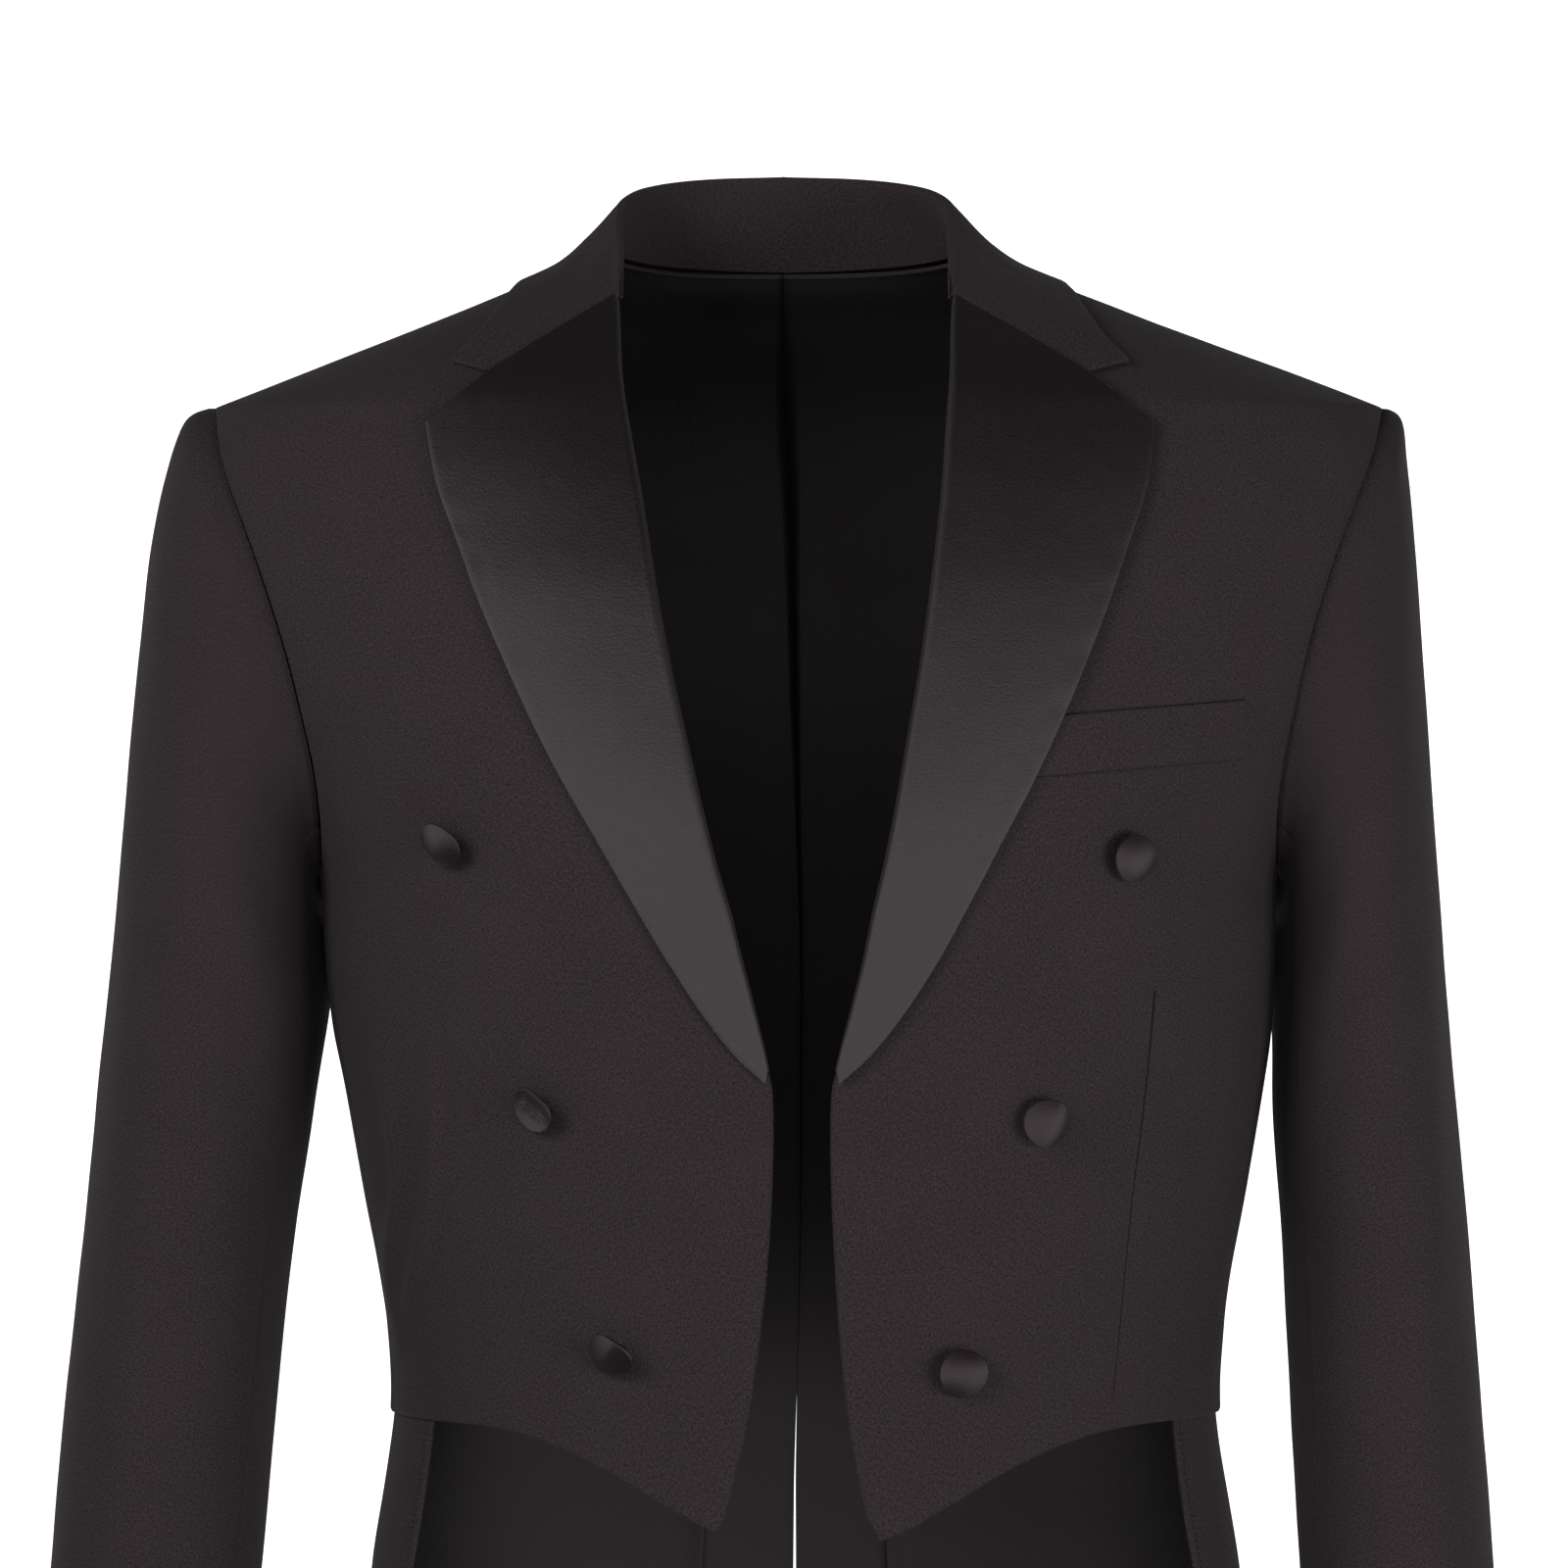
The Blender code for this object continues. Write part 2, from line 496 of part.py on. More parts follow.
def collar_section(place):
    """The collar's visible side across one section: up the stand, over the fold and down the leaf."""
    at = lambda column: smooth(COLLAR, column, place)
    fold = Vector((at("fold_x"), at("fold_y"), at("fold_z")))
    seam = on_body(at("seam_turn"), at("seam_drop"), SEAM_LIFT)
    lift = mix(LAPEL_LIFT, LEAF_LIFT, min(place / 0.3, 1.0)) + COLLAR_CLOTH
    edge = on_body(at("edge_turn"), at("edge_drop"), lift)
    away = Vector((edge.x - fold.x, edge.y - fold.y, 0)).normalized()
    low = Vector((0, 0, -FOLD_HALF * 0.9))
    inner_fold = fold - away * FOLD_HALF + low
    outer_fold = fold + away * FOLD_HALF + low
    points = [seam, mix(seam, inner_fold, 0.5), inner_fold, fold, outer_fold]
    for share in (0.25, 0.5, 0.75):
        dip = LEAF_SAG * sin(pi * share) * (1 - place ** 2)
        points.append(lifted_clear(mix(outer_fold, edge, share) - Vector((0, 0, dip)), lift))
    return points + [edge]


def gorge_section():
    """The collar's front end, along the gorge seam and on to its tip."""
    gorge = ROLL_LINE[2]
    lift = LAPEL_LIFT + COLLAR_CLOTH
    whole = collar_section(0.0)
    stops = [(gorge.out + 0.003, gorge.drop + 0.0019)]
    stops += [(mix(gorge.out, NOTCH.out, s), mix(gorge.drop, NOTCH.drop, s)) for s in (0.35, 0.68, 1.0)]
    stops += [(COLLAR_TIP.out, COLLAR_TIP.drop)]
    return whole[:4] + [front_point(out, drop, lift) for out, drop in stops]


def collar(name):
    """The collar, one folded strip from gorge to gorge round the back of the neck."""
    places = spaced(0.0, 1.0, COLLAR_HALF_COLUMNS)
    half = [gorge_section()] + [collar_section(p) for p in places[1:]]
    left = [[worn(p, 1) for p in section] for section in half]
    right = [[worn(p, -1) for p in section] for section in half]
    visible = left + right[-2::-1]
    hidden = []
    for i, section in enumerate(visible):
        before, after = visible[max(i - 1, 0)], visible[min(i + 1, len(visible) - 1)]
        line = []
        for j, point in enumerate(section):
            along = after[j] - before[j]
            across = section[min(j + 1, len(section) - 1)] - section[max(j - 1, 0)]
            line.append(point - across.cross(along).normalized() * COLLAR_CLOTH)
        hidden.append(line)
    return cloth(name, trimmed(visible, SEAM_GAP / 2), trimmed(hidden, SEAM_GAP / 2), wool)


def sleeve_point(section, station, side):
    """A point on a sleeve. station runs round it as round the armhole: 0 outer, 90 front, 180 inner."""
    angle = radians(station)
    top = SLEEVE[0]
    turn, drop = armhole(station)

    def oval(row):
        middle_x, middle_z = (row.outer_x + row.inner_x) / 2, -(row.outer_drop + row.inner_drop) / 2
        reach_x, reach_z = (row.outer_x - row.inner_x) / 2, (row.inner_drop - row.outer_drop) / 2
        return Vector((middle_x + reach_x * cos(angle), row.centre_y - row.half_depth * sin(angle),
                       middle_z + reach_z * cos(angle)))

    point = oval(section) + (body_point(turn, drop) - oval(top)) * section.armhole
    arm_shift = mix(section.inner_shift, section.outer_shift, (1 + cos(angle)) / 2)
    shift = mix(arm_shift, sway(point.x, -point.z), section.armhole ** 4)
    return Vector((side * point.x + shift, point.y, point.z))


def sleeve_piece(name, stations, side):
    """One of a sleeve's two pieces, between two lines of stations, from the armhole to the cuff."""
    around = lambda section: [sleeve_point(section, s, side) for s in stations]
    outer = [around(section) for section in SLEEVE]
    inner = []
    for i, section in enumerate(SLEEVE):
        middle = sum((sleeve_point(section, s, side) for s in range(0, 360, 30)), Vector()) / 12
        line = []
        for j, station in enumerate(stations):
            point = outer[i][j]
            along = outer[min(i + 1, len(outer) - 1)][j] - outer[max(i - 1, 0)][j]
            ahead = sleeve_point(section, station + 4, side)
            behind = sleeve_point(section, station - 4, side)
            inwards = along.cross(ahead - behind).normalized()
            if inwards.dot(middle - point) < 0:
                inwards.negate()
            if i == 0:
                inwards = Vector((0, middle.y - point.y, middle.z - point.z)).normalized()
            line.append(point + inwards * SLEEVE_CLOTH)
        inner.append(line)
    return cloth(name, trimmed(outer, SEAM_GAP / 2), trimmed(inner, SEAM_GAP / 2), wool)


def welt(name):
    """The breast pocket's welt, on the left front; its inner end runs under the lapel."""
    columns, rows = 8, 2
    outer, inner = [], []
    for i in range(rows + 1):
        line = []
        for j in range(columns + 1):
            out = mix(POCKET_ENDS[0], POCKET_ENDS[1], j / columns)
            drop = mix(mix(*POCKET_TOP, j / columns), mix(*POCKET_BOTTOM, j / columns), i / rows)
            line.append((out, drop))
        inner.append([worn(front_point(o, d, WELT_LIFT), 1) for o, d in line])
        outer.append([worn(front_point(o, d, WELT_LIFT + WELT_CLOTH), 1) for o, d in line])
    return cloth(name, outer, inner, wool)


def bent(point, length, tilt):
    """Bends a button over on its shank, whose length takes all of the tilt, towards +X."""
    share = min(point.z / length, 1.0)
    angle = max(tilt * share, 1e-6)
    radius = length * share / angle
    path = Vector((radius * (1 - cos(angle)), 0, radius * sin(angle)))
    across = Matrix.Rotation(angle, 3, "Y")
    return path + across @ Vector((point.x, point.y, max(point.z - length, 0.0)))


def button(name, cloth_part, place, way, tilt, towards, shank):
    """A covered button: a domed disc on a thread shank, sewn to the nearest spot of its panel."""
    mesh = bmesh.new()
    rim = shank + BUTTON_RIM
    profile = [(0.0, 0.0), (SHANK_RADIUS, 0.0), (SHANK_RADIUS, shank / 2), (SHANK_RADIUS, shank),
               (BUTTON_RADIUS * 0.86, shank + BUTTON_RIM * 0.25), (BUTTON_RADIUS, rim)]
    for angle in (radians(30), radians(58)):
        profile.append((BUTTON_RADIUS * cos(angle) * 0.985, rim + BUTTON_DOME * sin(angle)))
    profile += [(0.0, rim + BUTTON_DOME)]
    line = [mesh.verts.new((r, 0, z)) for r, z in profile]
    edges = [mesh.edges.new(pair) for pair in zip(line, line[1:])]
    bmesh.ops.spin(mesh, geom=line + edges, cent=(0, 0, 0), axis=(0, 0, 1), angle=2 * pi, steps=12,
                   use_merge=True)
    bmesh.ops.remove_doubles(mesh, verts=mesh.verts[:], dist=0.00002)
    bmesh.ops.recalc_face_normals(mesh, faces=mesh.faces[:])
    for vertex in mesh.verts:
        vertex.co = bent(vertex.co, shank, radians(tilt))
    made = finished(name, mesh, satin)
    spot = cloth_part.closest_point_on_mesh(place)[1]
    right = Vector((0, 0, 1)).cross(way).normalized()
    up = way.cross(right)
    facing = Matrix((right, up, way)).transposed() @ Matrix.Rotation(radians(towards), 3, "Z")
    made.matrix_world = Matrix.Translation(spot + way * BUTTON_SEAT) @ facing.to_4x4()


def sew_buttons():
    for row in FRONT_BUTTONS:
        side = 1 if row.x > 0 else -1
        out = side * (row.x - sway(abs(row.x), row.drop))
        panel = coat.objects["front_left" if side > 0 else "front_right"]
        spot = front_point(out, row.drop, 0.001)
        button(row.name, panel, worn(spot, side), facing_out(spot, side), row.tilt, row.towards, row.shank)
    for name, side, panel in (("button_back_left", 1, "back_left"), ("button_back_right", -1, "back_right")):
        turn = -turn_at(back_seam_out(BACK_BUTTON_DROP) - BACK_BUTTON_IN, BACK_BUTTON_DROP)
        spot = on_body(turn, BACK_BUTTON_DROP, 0.001)
        button(name, coat.objects[panel], worn(spot, side), facing_out(spot, side), 0.0, 0.0, BACK_SHANK)


def facing_out(point, side):
    way = outward(point)
    return Vector((side * way.x, way.y, way.z))


def finish(name, colour, roughness, sheen):
    material = bpy.data.materials.new(name)
    material.use_nodes = True
    shader = material.node_tree.nodes["Principled BSDF"]
    shader.inputs["Base Color"].default_value = (*colour, 1.0)
    shader.inputs["Roughness"].default_value = roughness
    shader.inputs["Metallic"].default_value = 0.0
    shader.inputs["Sheen Weight"].default_value = sheen
    return material


for old in list(bpy.data.objects):
    bpy.data.objects.remove(old)
coat = bpy.data.collections.new("tailcoat")
bpy.context.scene.collection.children.link(coat)
wool = finish("black_wool", (0.020, 0.018, 0.020), 0.85, 0.3)
satin = finish("black_satin", (0.016, 0.015, 0.016), 0.38, 0.0)

collar("collar")
welt("breast_welt")
for label, hand in (("left", 1), ("right", -1)):
    front_panel("front_" + label, hand)
    side_body("side_body_" + label, hand)
    back_panel("back_" + label, hand)
    tail_panel("tail_" + label, hand)
    lapel("lapel_" + label, hand)
    sleeve_seams = ARM_STATIONS[SLEEVE_SEAM_STATION:FRONT_STATIONS + UNDER_STATIONS + 1]
    top_line = [s - 360.0 for s in BACK_ARM[:-1]] + ARM_STATIONS[:SLEEVE_SEAM_STATION + 1]
    sleeve_piece("under_sleeve_" + label, sleeve_seams, hand)
    sleeve_piece("top_sleeve_" + label, top_line, hand)
sew_buttons()
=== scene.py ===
# A black evening tailcoat, worn and hollow. Metres, +Z up, the front faces -Y, left is the wearer's left.
from bisect import bisect_right
from math import acos, cos, degrees, exp, pi, radians, sin

import bmesh
import bpy
from mathutils import Matrix, Vector, noise


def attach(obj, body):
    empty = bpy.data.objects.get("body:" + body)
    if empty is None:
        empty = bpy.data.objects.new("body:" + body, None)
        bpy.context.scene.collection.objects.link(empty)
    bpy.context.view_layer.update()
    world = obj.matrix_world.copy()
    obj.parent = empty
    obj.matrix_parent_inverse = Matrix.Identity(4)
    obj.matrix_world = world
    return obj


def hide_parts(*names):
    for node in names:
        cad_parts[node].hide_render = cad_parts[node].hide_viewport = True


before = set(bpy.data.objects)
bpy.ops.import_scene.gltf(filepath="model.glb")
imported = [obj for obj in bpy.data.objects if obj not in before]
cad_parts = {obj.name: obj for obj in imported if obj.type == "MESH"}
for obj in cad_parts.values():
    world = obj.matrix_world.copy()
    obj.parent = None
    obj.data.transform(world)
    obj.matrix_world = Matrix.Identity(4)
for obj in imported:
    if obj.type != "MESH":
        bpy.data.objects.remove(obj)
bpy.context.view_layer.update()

print("coat: frame loaded")

# The coat's cut and the body it was fitted to, as in the solids. A drop is measured down from the origin.
cut = {
    "neckHalf": 0.075,
    "shoulderHalf": 0.241,
    "neckDrop": 0.005,
    "shoulderDrop": 0.070,
    "waist": 0.483,
    "tailLength": 1.060,
    "napeDrop": 0.011,
    "roundness": 2.6,            # how square the body's cross sections are
    "armpitDrop": 0.262,
    "armholeTurn": 31.0,
    "sideSeamStation": 158.7,
    "backSeamStation": 255.8,
    "sleeveSeamStation": 142.83,
    "waistStep": 0.0020,
    "ventHalf": 0.004,
}
sides = [  # drop, half width
    (0.070, 0.2410), (0.090, 0.2465), (0.115, 0.2465), (0.150, 0.2400), (0.190, 0.2265), (0.225, 0.2110),
    (0.250, 0.2008), (0.262, 0.1976), (0.280, 0.1968), (0.300, 0.1960), (0.326, 0.1938), (0.347, 0.1903),
    (0.387, 0.1833), (0.427, 0.1758), (0.448, 0.1728), (0.483, 0.1715), (0.545, 0.1790), (0.600, 0.1850),
    (0.650, 0.1880), (0.700, 0.1885), (0.800, 0.1860), (0.900, 0.1800), (1.060, 0.1720),
]
depths = [  # drop, reach to the front, reach to the back
    (0.000, 0.0240, 0.0500), (0.015, 0.0390, 0.0560), (0.030, 0.0530, 0.0700), (0.060, 0.0780, 0.0920),
    (0.085, 0.0930, 0.1040), (0.115, 0.1070, 0.1130), (0.150, 0.1200, 0.1190), (0.200, 0.1310, 0.1190),
    (0.240, 0.1350, 0.1130), (0.300, 0.1320, 0.1020), (0.360, 0.1260, 0.0920), (0.420, 0.1200, 0.0870),
    (0.483, 0.1180, 0.0890), (0.560, 0.1190, 0.1060), (0.640, 0.1200, 0.1200), (0.720, 0.1200, 0.1260),
    (0.850, 0.1180, 0.1290), (1.060, 0.1150, 0.1320),
]
sways = [  # drop, and how far the middle and the sides lie to the left
    (0.000, -0.0035, -0.0025), (0.030, -0.0030, 0.0010), (0.070, -0.0022, 0.0028), (0.110, -0.0002, 0.0016),
    (0.154, 0.0007, 0.0017), (0.200, 0.0018, 0.0020), (0.250, 0.0031, 0.0027), (0.300, 0.0043, 0.0038),
    (0.347, 0.0040, 0.0052), (0.420, 0.0036, 0.0055), (0.480, 0.0023, 0.0058), (0.526, 0.0014, 0.0058),
    (1.060, 0.0010, 0.0060),
]
rollLine = [  # drop, out from the middle: the lapel's fold, then the front's edge down to its point
    (0.005, 0.0750), (0.012, 0.0722), (0.027, 0.0680), (0.060, 0.0660), (0.085, 0.0630), (0.115, 0.0590),
    (0.150, 0.0540), (0.180, 0.0490), (0.205, 0.0440), (0.235, 0.0380), (0.257, 0.0330), (0.276, 0.0280),
    (0.294, 0.0240), (0.312, 0.0195), (0.342, 0.0125), (0.362, 0.0113), (0.400, 0.0123), (0.440, 0.0152),
    (0.479, 0.0199), (0.498, 0.0236), (0.518, 0.0285), (0.526, 0.0330), (0.530, 0.0342),
]
lapelEdge = [
    (0.080, 0.1466), (0.106, 0.1421), (0.130, 0.1338), (0.154, 0.1250), (0.178, 0.1150), (0.202, 0.1042),
    (0.225, 0.0927), (0.248, 0.0799), (0.272, 0.0668), (0.295, 0.0537), (0.318, 0.0387), (0.334, 0.0258),
    (0.344, 0.0146),
]
frontHem = [  # out, drop on the right front, drop on the left front
    (0.0330, 0.5234, 0.5278), (0.0430, 0.5185, 0.5238), (0.0530, 0.5130, 0.5180), (0.0660, 0.5058, 0.5104),
    (0.0820, 0.4973, 0.5010), (0.1060, 0.4880, 0.4902), (0.1250, 0.4842, 0.4852), (0.1450, 0.4832, 0.4833),
    (0.1800, 0.4830, 0.4830),
]
sideBackSeam = [
    (0.190, 0.2028), (0.215, 0.1680), (0.240, 0.1400), (0.300, 0.0980), (0.360, 0.0710), (0.420, 0.0530),
    (0.483, 0.0430), (0.600, 0.0460), (0.800, 0.0510), (1.060, 0.0560),
]
tailEdge = [  # drop, degrees forward of the side
    (0.483, 31.0), (0.545, 30.5), (0.600, 26.0), (0.700, 10.0), (0.800, -8.0), (0.900, -23.0),
    (1.000, -35.0), (1.060, -41.0),
]


def smooth(rows, column, place):
    places = [row[0] for row in rows]
    low = min(max(bisect_right(places, place) - 1, 0), len(rows) - 2)

    def slope(index):
        before, after = max(index - 1, 0), min(index + 1, len(rows) - 1)
        return (rows[after][column] - rows[before][column]) / (places[after] - places[before])

    span = places[low + 1] - places[low]
    t = (place - places[low]) / span
    return (rows[low][column] * (1 + 2 * t) * (1 - t) ** 2 + slope(low) * span * t * (1 - t) ** 2
            + rows[low + 1][column] * t * t * (3 - 2 * t) - slope(low + 1) * span * t * t * (1 - t))


def mix(first, second, share):
    return first + (second - first) * share


def ease(low, high, value):
    share = min(max((value - low) / (high - low), 0.0), 1.0)
    return share * share * (3 - 2 * share)


tableStep = 0.0005


def ready(rows, column):  # a column worked out every half millimetre, because it is asked for so often
    return [smooth(rows, column, i * tableStep) for i in range(2150)]


def read(line, drop):
    at = min(max(drop / tableStep, 0.0), len(line) - 1.001)
    low = int(at)
    return mix(line[low], line[low + 1], at - low)


widthLine, frontLine, backLine = ready(sides, 1), ready(depths, 1), ready(depths, 2)
middleSway, sideSway = ready(sways, 1), ready(sways, 2)


def halfWidth(drop):
    if drop < cut["shoulderDrop"]:
        share = (drop - cut["neckDrop"]) / (cut["shoulderDrop"] - cut["neckDrop"])
        return mix(cut["neckHalf"], cut["shoulderHalf"], share)
    return read(widthLine, drop)


def depth(drop, forward):
    return read(frontLine if forward else backLine, drop)


def bodyPoint(turn, drop):  # turn is 90 at the middle of the front, 0 at the side, -90 behind
    angle = radians(turn)
    reach = max(cos(angle), 0.0) ** (2 / cut["roundness"])
    return Vector((halfWidth(drop) * reach, -depth(drop, turn > 0) * sin(angle), -drop))


def turnAt(out, drop):
    share = min(max(out / halfWidth(drop), 0.0), 1.0)
    return degrees(acos(share ** (cut["roundness"] / 2)))


def outward(point):
    step, forward = 0.002, point.y < 0

    def inside(x, y, z):
        return (abs(x) / halfWidth(-z)) ** cut["roundness"] + (y / depth(-z, forward)) ** 2

    x, y, z = point.x, point.y, min(point.z, -step)
    return Vector((inside(x + step, y, z) - inside(x - step, y, z),
                   inside(x, y + step, z) - inside(x, y - step, z),
                   inside(x, y, z + step) - inside(x, y, z - step))).normalized()


def sway(out, drop):
    share = min(out / halfWidth(max(drop, cut["neckDrop"])), 1.0)
    return mix(read(middleSway, drop), read(sideSway, drop), share ** 3)


def worn(point, side):
    return Vector((side * point.x + sway(point.x, -point.z), point.y, point.z))


def armhole(station):
    angle = radians(station)
    middle = (cut["shoulderDrop"] + cut["armpitDrop"]) / 2
    radius = (cut["armpitDrop"] - cut["shoulderDrop"]) / 2
    return cut["armholeTurn"] * sin(angle), middle - radius * cos(angle)


def blend(first, second, share):
    return mix(first[0], second[0], share), mix(first[1], second[1], share)


def frontPoint(out, drop, lift):
    point = bodyPoint(turnAt(out, drop), drop)
    return point + outward(point) * lift


def settle(point):  # the cloth lies a little unevenly, the same on both sides of a seam
    return 0.0007 * noise.noise(point * 11) + 0.00025 * noise.noise(point * 34)


def stops(count, crowd):  # shares from 0 to 1, closer together near both ends
    inner = [crowd + (1 - 2 * crowd) * i / count for i in range(count + 1)]
    return [0.0, crowd * 0.2, crowd * 0.5] + inner + [1 - crowd * 0.5, 1 - crowd * 0.2, 1.0]


def joined(first, second):  # two runs of shares, the second one after the first
    return first + [round(first[-1]) + s for s in second[1:]]


detail = 1.0


def count(number):
    return max(int(number * detail), 4)


def sheetPiece(name, points, facing, slots, thickness, marks=None):
    # points is a grid, row by row. Its cut is laid out flat in metres on a UV map, for the weave.
    rows, columns = len(points) - 1, len(points[0]) - 1
    mesh = bmesh.new()
    cutMap = mesh.loops.layers.uv.new("cut")
    mark = mesh.verts.layers.float.new("seamAndShadeGap")
    bmesh.ops.create_grid(mesh, x_segments=columns, y_segments=rows, size=0.5)
    middle = columns // 2
    downs, down = [], 0.0
    for i in range(rows + 1):
        if i:
            down += (points[i][middle] - points[i - 1][middle]).length
        line, across = [0.0], 0.0
        for j in range(columns):
            across += (points[i][j + 1] - points[i][j]).length
            line.append(across)
        downs.append([(a - line[middle], down) for a in line])
    place = {}
    for vertex in mesh.verts:
        column = round((vertex.co.x + 0.5) * columns)
        row = round((vertex.co.y + 0.5) * rows)
        place[vertex] = (row, column)
        vertex.co = points[row][column]
        vertex[mark] = marks[row][column] if marks else 1.0
    for face in mesh.faces:
        for loop in face.loops:
            row, column = place[loop.vert]
            loop[cutMap].uv = downs[row][column]
    mesh.normal_update()
    byPlace = {place[v]: v for v in mesh.verts}
    if byPlace[(rows // 2, columns // 2)].normal.dot(facing) < 0:
        bmesh.ops.reverse_faces(mesh, faces=mesh.faces[:])
    area = sum(f.calc_area() for f in mesh.faces)
    spreads = [d[-1][0] - d[0][0] for d in downs]
    print(f"coat: {name} measures {max(spreads):.3f} x {down:.3f} m, {area:.4f} square metres")
    data = bpy.data.meshes.new(name)
    mesh.to_mesh(data)
    mesh.free()
    data.shade_smooth()
    piece = bpy.data.objects.new(name, data)
    bpy.context.scene.collection.objects.link(piece)
    for material in slots:
        data.materials.append(material)
    wall = piece.modifiers.new("wall", "SOLIDIFY")
    wall.thickness = thickness
    wall.offset = -1.0
    wall.use_even_offset = False
    wall.material_offset = len(slots) - 1
    return piece


def bodyPanel(name, place, rows, columns, side, slots, thickness, relief, borders, marker=None):
    # borders gives each edge's seam, as how deep it sinks and how wide the sunken band is
    base = [[bodyPoint(*place(u, v)) for v in columns] for u in rows]
    ways = [[outward(p) for p in row] for row in base]
    acrossRows = [[0.0] for _ in base]
    for i, row in enumerate(base):
        for j in range(len(row) - 1):
            acrossRows[i].append(acrossRows[i][-1] + (row[j + 1] - row[j]).length)
    downColumns = [[0.0] * len(columns)]
    for i in range(len(base) - 1):
        downColumns.append([d + (base[i + 1][j] - base[i][j]).length for j, d in enumerate(downColumns[-1])])
    points, marks = [], []
    for i, row in enumerate(base):
        line, markLine = [], []
        for j, point in enumerate(row):
            spot = worn(point, side)
            gaps = {"start": acrossRows[i][j], "end": acrossRows[i][-1] - acrossRows[i][j],
                    "top": downColumns[i][j], "bottom": downColumns[-1][j] - downColumns[i][j]}
            sink = sum(deep * (1 - ease(0.0, wide, gaps[edge])) for edge, (deep, wide) in borders.items())
            lift = relief(point, spot, gaps) + settle(spot) - sink
            line.append(worn(point + ways[i][j] * lift, side))
            markLine.append(marker(point, gaps) if marker else 1.0)
        points.append(line)
        marks.append(markLine)
    middle = ways[len(rows) // 2][len(columns) // 2]
    return sheetPiece(name, points, Vector((side * middle.x, middle.y, middle.z)), slots, thickness, marks)


def ridge(path, point, width, height, fade=0.02):
    # a soft fold along a path of (drop, out), which dies away at its ends
    drop, low, high = -point.z, path[0][0], path[-1][0]
    if not low - fade < drop < high + fade:
        return 0.0
    away = point.x - smooth(path, 1, min(max(drop, low), high))
    strength = ease(low - fade, low + fade, drop) * (1 - ease(high - fade, high + fade, drop))
    return height * strength * exp(-(away / width) ** 2)


seamSink, seamBand = 0.0008, 0.0024
edgeSink, edgeBand = 0.0005, 0.0012

fronts = {
    "rows": (70, 84),
    "columns": 62,
    "thickness": 0.0017,
    "underRoll": 0.0032,         # the wool stops this far short of the roll, which the satin covers
    "darts": {"left": [(0.306, 0.1418), (0.351, 0.1376), (0.395, 0.1325), (0.474, 0.1258)],
              "right": [(0.302, 0.1500), (0.347, 0.1455), (0.380, 0.1465), (0.437, 0.1560)]},
    "folds": {"left": [([(0.390, 0.1690), (0.425, 0.1700), (0.462, 0.1690)], 0.0040, 0.0007)],
              "right": [([(0.345, 0.1490), (0.378, 0.1500), (0.409, 0.1545), (0.437, 0.1615)], 0.0031, 0.0028),
                        ([(0.338, 0.1700), (0.387, 0.1650), (0.420, 0.1690), (0.450, 0.1665)], 0.0036, 0.0025),
                        ([(0.300, 0.1600), (0.345, 0.1590), (0.400, 0.1600)], 0.0060, -0.0011)]},
}


def frontEdge(drop):
    return smooth(rollLine, 1, min(drop, rollLine[-1][0]))


sideSeamTop = armhole(cut["sideSeamStation"])


def sideSeam(share):
    return mix(sideSeamTop[0], 10.0, share), mix(sideSeamTop[1], cut["waist"], share)


def frontPlace(side):
    hem = 2 if side > 0 else 1

    def start(drop):
        pull = fronts["underRoll"] * (1 - ease(0.325, 0.346, drop))
        return turnAt(frontEdge(drop) + pull, drop), drop

    lastStart, lastEnd = start(frontHem[0][hem]), sideSeam(1.0)

    def place(u, v):
        if u <= 1:
            return blend(start(mix(cut["neckDrop"], sideSeamTop[1], u)),
                         armhole(cut["sideSeamStation"] * u), v)
        low = u - 1
        turn, drop = blend(start(mix(sideSeamTop[1], frontHem[0][hem], low)), sideSeam(low), v)
        if 0 < v < 1:
            last = blend(lastStart, lastEnd, v)
            hemDrop = smooth(frontHem, hem, bodyPoint(last[0], cut["waist"]).x)
            drop += (hemDrop - last[1]) * low * low
        return turn, drop
    return place


def frontPanel(label, side):
    dart, folds = fronts["darts"][label], fronts["folds"][label]

    def relief(point, spot, gaps):
        lift = ridge(dart, point, 0.0034, -0.0004, 0.014)
        for path, width, height in folds:
            lift += ridge(path, point, width, height)
        return lift

    def marker(point, gaps):  # how far away the dart's stitched line is, where it shows
        drop = -point.z
        if side < 0 or not dart[0][0] < drop < dart[-1][0]:
            return 1.0
        thinner = 1 + 1.8 * (drop - dart[0][0]) / (dart[-1][0] - dart[0][0])
        return (point.x - smooth(dart, 1, drop)) * thinner

    rows = joined(stops(count(fronts["rows"][0]), 0.02), stops(count(fronts["rows"][1]), 0.02))
    columns = stops(count(fronts["columns"]), 0.018)
    borders = {"start": (edgeSink, edgeBand), "end": (0.0003, seamBand),
               "top": (seamSink, seamBand), "bottom": (edgeSink, edgeBand)}
    piece = bodyPanel("frontCloth_" + label, frontPlace(side), rows, columns, side, [wool, lining],
                      fronts["thickness"], relief, borders, marker)
    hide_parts("front_" + label)
    return piece


backSeamTop = armhole(cut["backSeamStation"])


def backSeam(drop):
    return -turnAt(smooth(sideBackSeam, 1, drop), drop), drop


